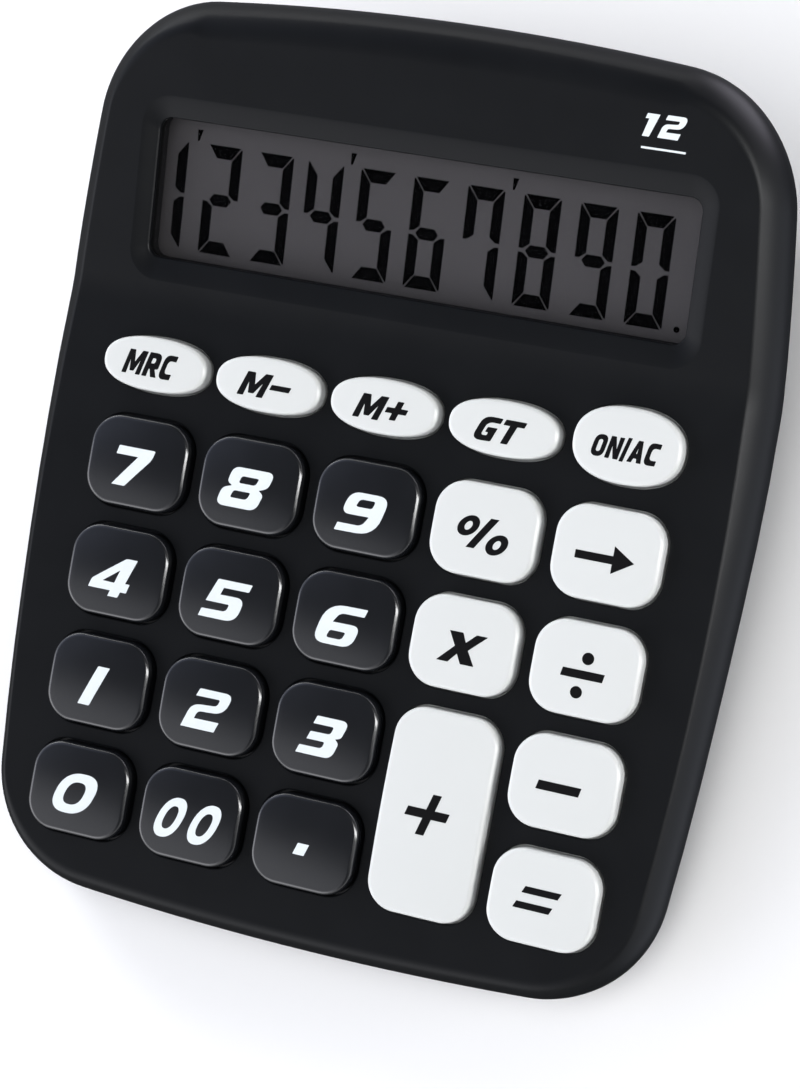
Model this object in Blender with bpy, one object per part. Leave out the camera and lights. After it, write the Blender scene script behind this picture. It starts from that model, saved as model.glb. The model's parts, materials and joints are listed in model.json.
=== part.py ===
"""Desk calculator: a wedge-shaped two-part case with a keypad, a steeper display and a battery.

Metres, +Z up, +Y away from the user, origin on the desk under the middle of the object.
Three empties carry the pieces. `desk` stands level. `deck` lies in the keypad's face, with its
origin at the middle of the square keys. `screen` lies in the display's face, with its origin on
the fold where the two faces meet.
"""

import math
from collections import namedtuple

import bmesh
import bpy
from mathutils import Matrix, Vector

# Clearances and walls
GAP = 0.0003
WALL = 0.0022
SHADOW = 0.0005
LIP = 0.0010
LIP_HEIGHT = 0.0018

# How the faces lie
KEYPAD_TILT = math.radians(7.0)
DISPLAY_TILT = math.radians(10.8)
FACE_HEIGHT = 0.0217
FOLD_Y = 0.0675

# The case: a barrel outline of four bowed sides and four round corners, seen square to the keypad
Barrel = namedtuple(
    "Barrel",
    "half_width waist_y side_radius front_y front_radius rear_y rear_radius front_corner rear_corner",
)
FACE = Barrel(0.0718, 0.032, 0.672, -0.0531, 0.710, 0.1237, 0.555, 0.0221, 0.0209)
FRONT_STEPS, CORNER_STEPS, SIDE_STEPS, REAR_STEPS = 3, 6, 2, 3
FOLD_INDEX = FRONT_STEPS + CORNER_STEPS + SIDE_STEPS
EDGE_RADIUS = 0.0012
LEAN_FRONT = 0.0030
LEAN_DISPLAY = 0.0047
LEAN_REAR = 0.0066
LEAN_GROWS_BY_Y = 0.080
SWELL_SHARE = 0.8
SWELL_WALL = 1.4
DRAFT_ANGLE = math.radians(15)
FRONT_WALL = 0.0090
REAR_WALL = 0.0120

# The underside, which tucks in below the seam
FOOT_STAND = 0.0012
FLOOR = 0.0022
TUCK = 0.42
TUCK_CURVE = 1.1
BASE_EDGE = 0.0012

# Keys: square grid of columns and rows, and one row of ovals behind it
COLUMN = 0.0250
ROW = 0.0225
CAP_X = 0.0217
CAP_Y = 0.0183
CAP_CORNER = 0.0060
CAP_TOP = 0.0032
CAP_EDGE = 0.0007
CAP_SKIN = 0.0012
CAP_ROOF = 0.0018
OVAL_Y = 0.0540
OVAL_SIZE = (0.0227, 0.0109)
BIG_OVAL_Y = 0.0550
BIG_OVAL_SIZE = (0.0219, 0.0149)
OVAL_POWER = 2.35
FLANGE = 0.0010
OVAL_FLANGE = 0.0008
FLANGE_THICK = 0.0010
KEY_CLEARANCE = 0.00045
POST_RADIUS = 0.0018
POST_END = -0.0046

# Rubber mat and keypad board under the keys, as depths below the keypad's face
BOARD_X = 0.0615
BOARD_FRONT = -0.0415
BOARD_REAR = 0.0623
MAT_TOP = -0.0069
MAT_THICK = 0.0008
DOME_TOP = POST_END - GAP
DOME_RADII = (0.0042, 0.0022)
BOARD_TOP = MAT_TOP - MAT_THICK - GAP
BOARD_THICK = 0.0015
BOARD_POSTS = [(-0.0375, -0.0225), (-0.0375, 0.0225), (0.0375, 0.0), (0.0375, 0.0225)]
BOARD_POST_RADIUS = 0.0023

# Display, in the screen's frame: x across, y up the slope from the fold, z out of the face
WINDOW_X = 0.0568
WINDOW_LOW = 0.0080
WINDOW_HIGH = 0.0362
WINDOW_CORNER = 0.0026
BEVEL_SIDE = 0.0026
BEVEL_END = 0.0036
BEVEL_DEPTH = 0.0010
LENS_TOP = -0.0025
LENS_THICK = 0.0012
LENS_MARGIN = 0.0015
FRAME_TOP = LENS_TOP - LENS_THICK - GAP
FRAME_THICK = 0.0020
FRAME_MARGIN = 0.0042
GLASS_TOP = FRAME_TOP - FRAME_THICK - GAP
GLASS_THICK = 0.0010
GLASS_MARGIN = 0.0032
CONTACT_LEDGE = 0.0030
STRIP_DEPTH = 0.0020
STRIP_HEIGHT = 0.0021
LOGIC_BOARD_X = 0.0658
LOGIC_BOARD_LOW = 0.0030
LOGIC_BOARD_HIGH = 0.0435
LOGIC_BOARD_CHAMFER = 0.0060
LOGIC_BOARD_TOP = GLASS_TOP - GLASS_THICK - GAP - STRIP_HEIGHT - GAP
SCREEN_POSTS = [(-0.0638, 0.0100), (0.0638, 0.0100), (-0.0634, 0.0300), (0.0634, 0.0300)]
CHIP_Y = 0.0270
CHIP_PROFILE = [(0.0065, 0.0), (0.0059, 0.0008), (0.0036, 0.0014)]

# Case screws, level with the desk
CASE_SCREWS = [(-0.0375, -0.0450), (0.0375, -0.0450), (-0.0560, 0.0668), (0.0560, 0.0668)]
SPLIT_HEIGHT = 0.0068
CASE_POST_RADIUS = 0.0028
BOSS_RADIUS = 0.0042
SINK_RADIUS = 0.0029
SINK_TOP = 0.0034
CASE_HOLE_RADIUS = 0.0014
CASE_SCREW_REACH = 0.0120
SMALL_HOLE_RADIUS = 0.0012
SMALL_POST_BITE = 0.0040

# Screws: head radius, head height and shank radius; a head's crown is narrower and lower than its rim
CASE_SCREW = (0.0025, 0.0013, 0.0011)
BOARD_SCREW = (0.0019, 0.0012, 0.0009)
CROWN_RADIUS_SHARE = 0.75
RIM_HEIGHT_SHARE = 0.7
TIP_RADIUS_SHARE = 0.4

# Feet
FOOT_RADIUS = 0.0055
FOOT_SINK = 0.0008
FEET = {
    "front_left": (-0.0520, -0.0330),
    "front_right": (0.0520, -0.0330),
    "rear_left": (-0.0465, 0.1020),
    "rear_right": (0.0465, 0.1020),
}

# Battery, lying across the case behind the fold
CELL_RADIUS = 0.0071
CELL_START = -0.0240
CELL_LENGTH = 0.0495
NUB_RADIUS = 0.0026
NUB_LENGTH = 0.0010
CELL_Y = 0.0880
HOUSE_X = 0.0350
HOUSE_FRONT = 0.0783
HOUSE_REAR = 0.0974
HOUSE_TOP = 0.0194
STEP_REAR = 0.1130
STEP_TOP = 0.0050
POCKET_LEFT = -0.0310
POCKET_RIGHT = 0.0275
POCKET_HALF_Y = 0.0077
POCKET_TOP = 0.0179
TAB_SLOT_MARGIN = 0.0010
DOOR_X = 0.0320
DOOR_TONGUE = 0.0015
DOOR_FRONT = 0.0795
DOOR_REAR = 0.1133
DOOR_THICK = 0.0017
TONGUE_THICK = 0.0007
GRIP_GROOVES = 4
GRIP_START = 0.0040
GRIP_PITCH = 0.0020
GRIP_HALF_X = 0.0090
GRIP_HALF_Y = 0.0005
GRIP_DEPTH = 0.0006
CONTACT_THICK = 0.0004
CONTACT_HALF_Y = 0.0045
TAB_HALF_Y = 0.0015
TAB_TOP = 0.0212
CONTACT_BOTTOM = 0.0050
CONTACT_TOP = 0.0160
SPRING_WIRE = 0.0003
SPRING_TURNS = 3
SPRING_STEPS = 8
SPRING_RADII = (0.0042, 0.0022)
LEAD_RADIUS = 0.0006
LEAD_STEPS = 4
RIBBON_HALF_X = 0.0130
RIBBON_THICK = 0.0005

MATERIALS = {
    "case_black": ((0.012, 0.013, 0.015), 0.42, 0.0),
    "key_black": ((0.014, 0.015, 0.018), 0.22, 0.0),
    "key_white": ((0.86, 0.86, 0.84), 0.35, 0.0),
    "window_clear": ((0.80, 0.82, 0.84), 0.05, 0.0),
    "display_glass": ((0.085, 0.075, 0.080), 0.20, 0.0),
    "frame_black": ((0.010, 0.010, 0.011), 0.60, 0.0),
    "silicone_grey": ((0.30, 0.31, 0.32), 0.70, 0.0),
    "strip_pink": ((0.55, 0.30, 0.32), 0.60, 0.0),
    "board_green": ((0.02, 0.12, 0.05), 0.40, 0.0),
    "epoxy_black": ((0.008, 0.008, 0.008), 0.15, 0.0),
    "steel": ((0.60, 0.60, 0.58), 0.30, 1.0),
    "cell_wrap": ((0.02, 0.10, 0.22), 0.35, 0.2),
    "ribbon_grey": ((0.45, 0.45, 0.46), 0.50, 0.0),
    "lead_red": ((0.55, 0.02, 0.02), 0.45, 0.0),
    "lead_black": ((0.010, 0.010, 0.010), 0.45, 0.0),
    "foot_rubber": ((0.016, 0.016, 0.016), 0.85, 0.0),
}


# ---------------------------------------------------------------- scene helpers


def clear_scene():
    for obj in list(bpy.data.objects):
        bpy.data.objects.remove(obj, do_unlink=True)


def material(name):
    found = bpy.data.materials.get(name)
    if found:
        return found
    colour, roughness, metallic = MATERIALS[name]
    made = bpy.data.materials.new(name)
    made.use_nodes = True
    shader = made.node_tree.nodes["Principled BSDF"]
    shader.inputs["Base Color"].default_value = (*colour, 1.0)
    shader.inputs["Roughness"].default_value = roughness
    shader.inputs["Metallic"].default_value = metallic
    return made


def add_empty(name, parent=None, location=(0, 0, 0), tilt=0.0):
    empty = bpy.data.objects.new(name, None)
    bpy.context.scene.collection.objects.link(empty)
    empty.parent = parent
    empty.location = location
    empty.rotation_euler = (tilt, 0, 0)
    return empty


def add_object(name, data, parent, slot=None, location=(0, 0, 0)):
    obj = bpy.data.objects.new(name, data)
    bpy.context.scene.collection.objects.link(obj)
    obj.parent = parent
    obj.location = location
    if slot:
        data.materials.append(material(slot))
    return obj


def mesh_from(name, bm):
    bmesh.ops.recalc_face_normals(bm, faces=bm.faces)
    mesh = bpy.data.meshes.new(name)
    bm.to_mesh(mesh)
    bm.free()
    mesh.shade_smooth()
    mesh.set_sharp_from_angle(angle=math.radians(35))
    return mesh


def add_helper(name, bm, parent):
    helper = add_object(name, mesh_from(name, bm), parent)
    helper.hide_render = True
    helper.display_type = "WIRE"
    return helper


def combine(obj, operation, helper):
    boolean = obj.modifiers.new(helper.name, "BOOLEAN")
    boolean.operation = operation
    boolean.solver = "EXACT"
    boolean.object = helper


# ---------------------------------------------------------------- shape helpers


def add_loft(bm, rings, fold=None):
    """Joins rings of equal length into one closed skin. The ends crease between the indices in `fold`."""
    rows = [[bm.verts.new(point) for point in ring] for ring in rings]
    count = len(rows[0])
    for lower, upper in zip(rows, rows[1:]):
        for i in range(count):
            j = (i + 1) % count
            bm.faces.new((lower[i], lower[j], upper[j], upper[i]))
    for row in (rows[0], rows[-1]):
        if fold is None:
            bm.faces.new(row)
            continue
        first, second = fold
        bm.faces.new(row[first : second + 1])
        bm.faces.new(row[second:] + row[: first + 1])


def add_box(bm, low, high):
    around = [(low[0], low[1]), (high[0], low[1]), (high[0], high[1]), (low[0], high[1])]
    add_loft(bm, [[(x, y, z) for x, y in around] for z in (low[2], high[2])])


def add_turned(bm, profile, sides, centre=(0, 0)):
    """A turned solid from (radius, z) pairs that run along its axis."""
    angles = [2 * math.pi * i / sides for i in range(sides)]
    around = [(math.cos(angle), math.sin(angle)) for angle in angles]
    x, y = centre
    add_loft(bm, [[(x + radius * u, y + radius * v, z) for u, v in around] for radius, z in profile])


def rounded_rectangle(half_x, half_y, radius, steps):
    points = []
    for quarter, (sign_x, sign_y) in enumerate(((1, 1), (-1, 1), (-1, -1), (1, -1))):
        centre = Vector((sign_x * (half_x - radius), sign_y * (half_y - radius)))
        for step in range(steps + 1):
            angle = math.pi / 2 * (quarter + step / steps)
            points.append(centre + radius * Vector((math.cos(angle), math.sin(angle))))
    return points


def oval(half_x, half_y, count):
    """A superellipse, a little squarer than an ellipse."""
    points = []
    for i in range(count):
        angle = 2 * math.pi * i / count
        across, along = math.cos(angle), math.sin(angle)
        points.append(
            Vector((
                half_x * math.copysign(abs(across) ** (2 / OVAL_POWER), across),
                half_y * math.copysign(abs(along) ** (2 / OVAL_POWER), along),
            ))
        )
    return points


def at_height(points, z):
    return [(point.x, point.y, z) for point in points]


# ---------------------------------------------------------------- case outline


def meeting(a, a_radius, b, b_radius, toward):
    """Of the two points at a_radius from a and b_radius from b, the one further along `toward`."""
    line = b - a
    along = (a_radius**2 - b_radius**2 + line.length_squared) / (2 * line.length)
    across = math.sqrt(a_radius**2 - along**2)
    unit = line.normalized()
    side = Vector((-unit.y, unit.x)) * across
    middle = a + unit * along
    return max(middle + side, middle - side, key=lambda point: point.dot(toward))


def direction(start, end):
    return math.atan2(end.y - start.y, end.x - start.x)


def half_outline(barrel):
    """(point, outward normal) pairs from mid front round +X to mid rear."""
    side = Vector((barrel.half_width - barrel.side_radius, barrel.waist_y))
    front = Vector((0, barrel.front_y + barrel.front_radius))
    rear = Vector((0, barrel.rear_y - barrel.rear_radius))
    front_corner = meeting(
        front,
        barrel.front_radius - barrel.front_corner,
        side,
        barrel.side_radius - barrel.front_corner,
        Vector((1, -1)),
    )
    rear_corner = meeting(
        rear,
        barrel.rear_radius - barrel.rear_corner,
        side,
        barrel.side_radius - barrel.rear_corner,
        Vector((1, 1)),
    )
    fold_angle = math.asin((FOLD_Y - barrel.waist_y) / barrel.side_radius)
    front_to_side = direction(front, front_corner), direction(side, front_corner)
    side_to_rear = direction(side, rear_corner), direction(rear, rear_corner)
    arcs = [
        (front, barrel.front_radius, -math.pi / 2, front_to_side[0], FRONT_STEPS),
        (front_corner, barrel.front_corner, *front_to_side, CORNER_STEPS),
        (side, barrel.side_radius, front_to_side[1], fold_angle, SIDE_STEPS),
        (side, barrel.side_radius, fold_angle, side_to_rear[0], SIDE_STEPS),
        (rear_corner, barrel.rear_corner, *side_to_rear, CORNER_STEPS),
        (rear, barrel.rear_radius, side_to_rear[1], math.pi / 2, REAR_STEPS),
    ]
    found = []
    for centre, radius, start, end, steps in arcs:
        for step in range(steps):
            angle = start + (end - start) * step / steps
            normal = Vector((math.cos(angle), math.sin(angle)))
            found.append((centre + radius * normal, normal))
    found.append((Vector((0, barrel.rear_y)), Vector((0, 1))))
    return found


def face_z(y):
    """Height of the upper faces in the deck's frame: level over the keys, rising behind the fold."""
    return max(0.0, y - FOLD_Y) * math.tan(DISPLAY_TILT)


def wall_depth(y):
    share = (y - FACE.front_y) / (FACE.rear_y - FACE.front_y)
    return FRONT_WALL + (REAR_WALL - FRONT_WALL) * share


def lean(point, normal):
    """How far the wall leans outward by the seam: more beside the display, and most along the rear."""
    t = min(1.0, max(0.0, point.y / LEAN_GROWS_BY_Y))
    side = LEAN_FRONT + (LEAN_DISPLAY - LEAN_FRONT) * t * t * (3 - 2 * t)
    return side + (LEAN_REAR - side) * max(0.0, normal.y) ** 3


def desk_plane_z(y, height):
    """z in the deck's frame of the level plane at `height` above the desk."""
    return (height - FACE_HEIGHT - y * math.sin(KEYPAD_TILT)) / math.cos(KEYPAD_TILT)


def case_ring(grow, height):
    """A ring round the case, `grow(point, normal)` outward and with its z from `height(y, new_y)`."""
    half = []
    for index, (point, normal) in enumerate(half_outline(FACE)):
        moved = point + normal * grow(point, normal)
        if index == FOLD_INDEX:
            moved.y = FOLD_Y
        half.append(Vector((moved.x, moved.y, height(point.y, moved.y))))
    mirrored = [Vector((-point.x, point.y, point.z)) for point in half[-2:0:-1]]
    return half + mirrored


def upper_ring(grow, depth):
    """A ring at a fixed distance outward from the face's edge, `depth` below the face."""
    return case_ring(lambda point, normal: grow, lambda y, new_y: face_z(new_y) - depth)


def swell_ring(inward):
    """A ring halfway down the wall, which bows outward."""
    return case_ring(
        lambda point, normal: lean(point, normal) * SWELL_SHARE - inward,
        lambda y, new_y: face_z(new_y) - wall_depth(y) / 2,
    )


def seam_ring(inward, below):
    """A ring `inward` of the wall's foot and `below` the seam between the covers."""
    return case_ring(
        lambda point, normal: lean(point, normal) - inward,
        lambda y, new_y: face_z(new_y) - wall_depth(y) - below,
    )


def tuck_height(y):
    return face_z(y) - wall_depth(y) - desk_plane_z(y, FOOT_STAND)


def tuck_ring(share, inward, lift=0.0):
    """A ring on the underside's slope: share 0 is at the seam and 1 at the base."""

    def grow(point, normal):
        foot = lean(point, normal)
        tucked = tuck_height(point.y) * TUCK + foot - LEAN_FRONT
        return foot - SHADOW - inward - tucked * share**TUCK_CURVE

    def height(y, new_y):
        seam = face_z(new_y) - wall_depth(y)
        return seam + (desk_plane_z(new_y, FOOT_STAND + lift) - seam) * share

    return case_ring(grow, height)


# ---------------------------------------------------------------- case


def fold_pair():
    return FOLD_INDEX, 2 * (len(half_outline(FACE)) - 1) - FOLD_INDEX


def top_cover_shell():
    edge_angles = (math.pi / 2, (math.pi / 2 + DRAFT_ANGLE) / 2, DRAFT_ANGLE)
    rings = []
    for angle in edge_angles:
        rings.append(upper_ring(EDGE_RADIUS * (math.cos(angle) - 1), EDGE_RADIUS * (1 - math.sin(angle))))
    rings += [
        swell_ring(0.0),
        seam_ring(0.0, 0.0),
        seam_ring(LIP, 0.0),
        seam_ring(LIP, -LIP_HEIGHT),
        seam_ring(WALL, -LIP_HEIGHT),
        swell_ring(WALL * SWELL_WALL),
        upper_ring(-WALL, WALL),
    ]
    bm = bmesh.new()
    add_loft(bm, rings, fold_pair())
    return bm


def small_posts(spots, bottom):
    """Board posts under a face, which reach from inside its skin down to `bottom`."""
    bm = bmesh.new()
    for spot in spots:
        add_turned(bm, [(BOARD_POST_RADIUS, bottom), (BOARD_POST_RADIUS, -WALL / 2)], 12, spot)
    return bm


def small_post_holes(spots, bottom):
    bm = bmesh.new()
    for spot in spots:
        profile = [(SMALL_HOLE_RADIUS, bottom - GAP), (SMALL_HOLE_RADIUS, bottom + SMALL_POST_BITE)]
        add_turned(bm, profile, 10, spot)
    return bm


def ceiling_height(y):
    """Height above the desk, at level distance y, of the middle of the upper skin."""
    fold = FOLD_Y * math.cos(KEYPAD_TILT)
    rise = min(y, fold) * math.tan(KEYPAD_TILT)
    rise += max(0.0, y - fold) * math.tan(KEYPAD_TILT + DISPLAY_TILT)
    return FACE_HEIGHT + rise - WALL / 2


def case_posts():
    bm = bmesh.new()
    for spot in CASE_SCREWS:
        profile = [(CASE_POST_RADIUS, SPLIT_HEIGHT + GAP), (CASE_POST_RADIUS, ceiling_height(spot[1]))]
        add_turned(bm, profile, 14, spot)
    return bm


def case_post_holes():
    bm = bmesh.new()
    for spot in CASE_SCREWS:
        profile = [(CASE_HOLE_RADIUS, SPLIT_HEIGHT), (CASE_HOLE_RADIUS, CASE_SCREW_REACH + GAP)]
        add_turned(bm, profile, 10, spot)
    return bm


def window_cutter():
    """The sloping surround and the opening through the upper skin."""
    middle = (WINDOW_LOW + WINDOW_HIGH) / 2
    half_y = (WINDOW_HIGH - WINDOW_LOW) / 2
    opening = rounded_rectangle(WINDOW_X, half_y, WINDOW_CORNER, 4)
    surround = rounded_rectangle(
        WINDOW_X + BEVEL_SIDE, half_y + BEVEL_END, WINDOW_CORNER + BEVEL_SIDE, 4
    )
    stages = [(surround, BEVEL_DEPTH), (surround, 0.0), (opening, -BEVEL_DEPTH), (opening, -2 * WALL)]
    shift = Vector((0, middle))
    bm = bmesh.new()
    add_loft(bm, [at_height([point + shift for point in ring], z) for ring, z in stages])
    return bm


def key_hole_cutter(keys):
    bm = bmesh.new()
    for key in keys:
        outline = [point + Vector(key.centre) for point in key_outline(key, KEY_CLEARANCE)]
        add_loft(bm, [at_height(outline, -2 * WALL), at_height(outline, CAP_TOP)])
    return bm


def build_top_cover(desk, deck, screen, keys):
    cover = add_object("top_cover", mesh_from("top_cover", top_cover_shell()), deck, "case_black")
    deck_bottom = BOARD_TOP + GAP
    screen_bottom = LOGIC_BOARD_TOP + GAP
    combine(cover, "UNION", add_helper("deck_posts", small_posts(BOARD_POSTS, deck_bottom), deck))
    combine(cover, "UNION", add_helper("screen_posts", small_posts(SCREEN_POSTS, screen_bottom), screen))
    combine(cover, "UNION", add_helper("case_posts", case_posts(), desk))
    combine(cover, "DIFFERENCE", add_helper("key_holes", key_hole_cutter(keys), deck))
    combine(cover, "DIFFERENCE", add_helper("window_hole", window_cutter(), screen))
    holes = small_post_holes(BOARD_POSTS, deck_bottom)
    combine(cover, "DIFFERENCE", add_helper("deck_post_holes", holes, deck))
    holes = small_post_holes(SCREEN_POSTS, screen_bottom)
    combine(cover, "DIFFERENCE", add_helper("screen_post_holes", holes, screen))
    combine(cover, "DIFFERENCE", add_helper("case_post_holes", case_post_holes(), desk))


def bottom_cover_shell():
    rings = [
        tuck_ring(1.0, BASE_EDGE),
        tuck_ring(1.0, 0.0, BASE_EDGE),
        tuck_ring(0.5, 0.0),
        seam_ring(SHADOW, SHADOW),
        seam_ring(LIP + GAP, SHADOW),
        seam_ring(LIP + GAP, GAP - LIP_HEIGHT),
        seam_ring(WALL, GAP - LIP_HEIGHT),
        seam_ring(SHADOW + WALL, SHADOW),
        tuck_ring(0.4, WALL),
        tuck_ring(1.0, WALL + BASE_EDGE, FLOOR),
    ]
    bm = bmesh.new()
    add_loft(bm, rings, fold_pair())
    return bm


def bottom_bosses():
    bm = bmesh.new()
    for spot in CASE_SCREWS:
        add_turned(bm, [(BOSS_RADIUS, FOOT_STAND + FLOOR / 2), (BOSS_RADIUS, SPLIT_HEIGHT)], 14, spot)
    return bm


def battery_house():
    """A block for the pocket, with a low step behind it that backs the door's channel."""
    low = FOOT_STAND + FLOOR / 2
    section = [(HOUSE_FRONT, low), (STEP_REAR, low), (STEP_REAR, STEP_TOP), (HOUSE_REAR, STEP_TOP)]
    section += [(HOUSE_REAR, HOUSE_TOP), (HOUSE_FRONT, HOUSE_TOP)]
    bm = bmesh.new()
    add_loft(bm, [[(x, y, z) for y, z in section] for x in (-HOUSE_X, HOUSE_X)])
    return bm


def screw_sinks():
    bm = bmesh.new()
    for spot in CASE_SCREWS:
        profile = [(SINK_RADIUS, -GAP), (SINK_RADIUS, SINK_TOP)]
        profile += [(CASE_HOLE_RADIUS, SINK_TOP), (CASE_HOLE_RADIUS, SPLIT_HEIGHT + GAP)]
        add_turned(bm, profile, 14, spot)
    return bm


def foot_sinks():
    bm = bmesh.new()
    for spot in FEET.values():
        radius = FOOT_RADIUS + GAP
        add_turned(bm, [(radius, -GAP), (radius, FOOT_STAND + FOOT_SINK + GAP)], 20, spot)
    return bm


def battery_pocket():
    bm = bmesh.new()
    low = (POCKET_LEFT, CELL_Y - POCKET_HALF_Y, 0)
    add_box(bm, low, (POCKET_RIGHT, CELL_Y + POCKET_HALF_Y, POCKET_TOP))
    return bm


def door_channel():
    """A stepped slot for the door and its side tongues, open to the rear."""
    bm = bmesh.new()
    top = FOOT_STAND + DOOR_THICK + GAP
    step = top - TONGUE_THICK - 2 * GAP
    wide = DOOR_X + DOOR_TONGUE + GAP
    narrow = DOOR_X + GAP
    section = [(-narrow, 0), (-narrow, step), (-wide, step), (-wide, top)]
    section += [(-x, z) for x, z in reversed(section)]
    front, rear = DOOR_FRONT - GAP, FACE.rear_y
    add_loft(bm, [[(x, y, z) for x, z in section] for y in (front, rear)])
    return bm


def tab_slots():
    bm = bmesh.new()
    margin = TAB_SLOT_MARGIN
    half = TAB_HALF_Y + GAP
    for left, right in ((POCKET_LEFT, POCKET_LEFT + margin), (POCKET_RIGHT - margin, POCKET_RIGHT)):
        low = (left, CELL_Y - half, POCKET_TOP - margin)
        add_box(bm, low, (right, CELL_Y + half, HOUSE_TOP + margin))
    return bm


def build_bottom_cover(desk, deck):
    cover = add_object("bottom_cover", mesh_from("bottom_cover", bottom_cover_shell()), deck, "case_black")
    combine(cover, "UNION", add_helper("bottom_bosses", bottom_bosses(), desk))
    combine(cover, "UNION", add_helper("battery_house", battery_house(), desk))
    combine(cover, "DIFFERENCE", add_helper("battery_pocket", battery_pocket(), desk))
    combine(cover, "DIFFERENCE", add_helper("door_channel", door_channel(), desk))
    combine(cover, "DIFFERENCE", add_helper("tab_slots", tab_slots(), desk))
    combine(cover, "DIFFERENCE", add_helper("screw_sinks", screw_sinks(), desk))
    combine(cover, "DIFFERENCE", add_helper("foot_sinks", foot_sinks(), desk))


def build_battery_door(desk):
    """A plate with side tongues that slides out to the rear; ribs give the thumb a grip."""
    top = FOOT_STAND + DOOR_THICK
    step = top - TONGUE_THICK
    wide = DOOR_X + DOOR_TONGUE
    section = [(-DOOR_X, FOOT_STAND), (-DOOR_X, step), (-wide, step), (-wide, top)]
    section += [(-x, z) for x, z in reversed(section)]
    bm = bmesh.new()
    add_loft(bm, [[(x, y, z) for x, z in section] for y in (DOOR_FRONT, DOOR_REAR)])
    door = add_object("battery_door", mesh_from("battery_door", bm), desk, "case_black")
    grip = bmesh.new()
    for groove in range(GRIP_GROOVES):
        y = DOOR_REAR - GRIP_START - GRIP_PITCH * groove
        high = (GRIP_HALF_X, y + GRIP_HALF_Y, FOOT_STAND + GRIP_DEPTH)
        add_box(grip, (-GRIP_HALF_X, y - GRIP_HALF_Y, 0), high)
    combine(door, "DIFFERENCE", add_helper("door_grip", grip, desk))


def build_feet(desk):
    profile = [(FOOT_RADIUS - 0.0005, 0.0), (FOOT_RADIUS, 0.0005), (FOOT_RADIUS, FOOT_STAND + FOOT_SINK)]
    for name, spot in FEET.items():
        bm = bmesh.new()
        add_turned(bm, profile, 20)
        add_object("foot_" + name, mesh_from("foot_" + name, bm), desk, "foot_rubber", (*spot, 0))


# ---------------------------------------------------------------- keys

Key = namedtuple("Key", "name centre size shape slot")


def grid_key(name, column, row, slot, rows=1):
    x = (column - 2) * COLUMN
    y = (row - 1.5 + (rows - 1) / 2) * ROW
    return Key("key_" + name, (x, y), (CAP_X, CAP_Y + (rows - 1) * ROW), "square", slot)


def all_keys():
    keys = []
    digits = (("0", "00", "point"), ("1", "2", "3"), ("4", "5", "6"), ("7", "8", "9"))
    for row, names in enumerate(digits):
        keys += [grid_key(name, column, row, "key_black") for column, name in enumerate(names)]
    keys.append(grid_key("plus", 3, 0, "key_white", rows=2))
    keys += [grid_key(name, 3, row, "key_white") for row, name in ((2, "times"), (3, "percent"))]
    last_column = ("equals", "minus", "divide", "back")
    keys += [grid_key(name, 4, row, "key_white") for row, name in enumerate(last_column)]
    for column, name in enumerate(("memory_recall", "memory_minus", "memory_plus", "grand_total")):
        keys.append(Key("key_" + name, ((column - 2) * COLUMN, OVAL_Y), OVAL_SIZE, "oval", "key_white"))
    keys.append(Key("key_on_clear", (2 * COLUMN, BIG_OVAL_Y), BIG_OVAL_SIZE, "oval", "key_white"))
    return keys


def key_outline(key, grow):
    half_x, half_y = key.size[0] / 2 + grow, key.size[1] / 2 + grow
    if key.shape == "oval":
        return oval(half_x, half_y, 16)
    return rounded_rectangle(half_x, half_y, CAP_CORNER + grow, 3)


def build_key(key, deck):
    """A hollow cap with a flange that holds it under the face and a post that presses its dome."""
    flange = OVAL_FLANGE if key.shape == "oval" else FLANGE
    flange_top = -WALL - GAP
    flange_bottom = flange_top - FLANGE_THICK
    roof = CAP_TOP - CAP_ROOF
    outside = [(-CAP_EDGE, CAP_TOP), (0, CAP_TOP - CAP_EDGE), (0, flange_top), (flange, flange_top)]
    outside += [(flange, flange_bottom), (-CAP_SKIN, flange_bottom), (-CAP_SKIN, roof)]
    rings = [at_height(key_outline(key, grow), z) for grow, z in outside]
    post = [point.normalized() * POST_RADIUS for point in key_outline(key, -CAP_SKIN)]
    rings += [at_height(post, roof), at_height(post, POST_END)]
    bm = bmesh.new()
    add_loft(bm, rings)
    add_object(key.name, mesh_from(key.name, bm), deck, key.slot, (*key.centre, 0))


def build_key_mat(deck, keys):
    """A silicone sheet with one dome under each key."""
    bm = bmesh.new()
    add_box(bm, (-BOARD_X, BOARD_FRONT, MAT_TOP - MAT_THICK), (BOARD_X, BOARD_REAR, MAT_TOP))
    mat = add_object("key_mat", mesh_from("key_mat", bm), deck, "silicone_grey")
    domes = bmesh.new()
    for key in keys:
        profile = [(DOME_RADII[0], MAT_TOP - MAT_THICK / 2), (DOME_RADII[1], DOME_TOP)]
        add_turned(domes, profile, 10, key.centre)
    combine(mat, "UNION", add_helper("domes", domes, deck))
    holes = bmesh.new()
    for spot in BOARD_POSTS:
        radius = BOARD_POST_RADIUS + GAP
        add_turned(holes, [(radius, BOARD_TOP), (radius, MAT_TOP + GAP)], 12, spot)
    combine(mat, "DIFFERENCE", add_helper("mat_holes", holes, deck))


# ---------------------------------------------------------------- boards and screws


def board_holes(spots, top, thick):
    bm = bmesh.new()
    for spot in spots:
        profile = [(SMALL_HOLE_RADIUS, top - thick - GAP), (SMALL_HOLE_RADIUS, top + GAP)]
        add_turned(bm, profile, 10, spot)
    return bm


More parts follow.
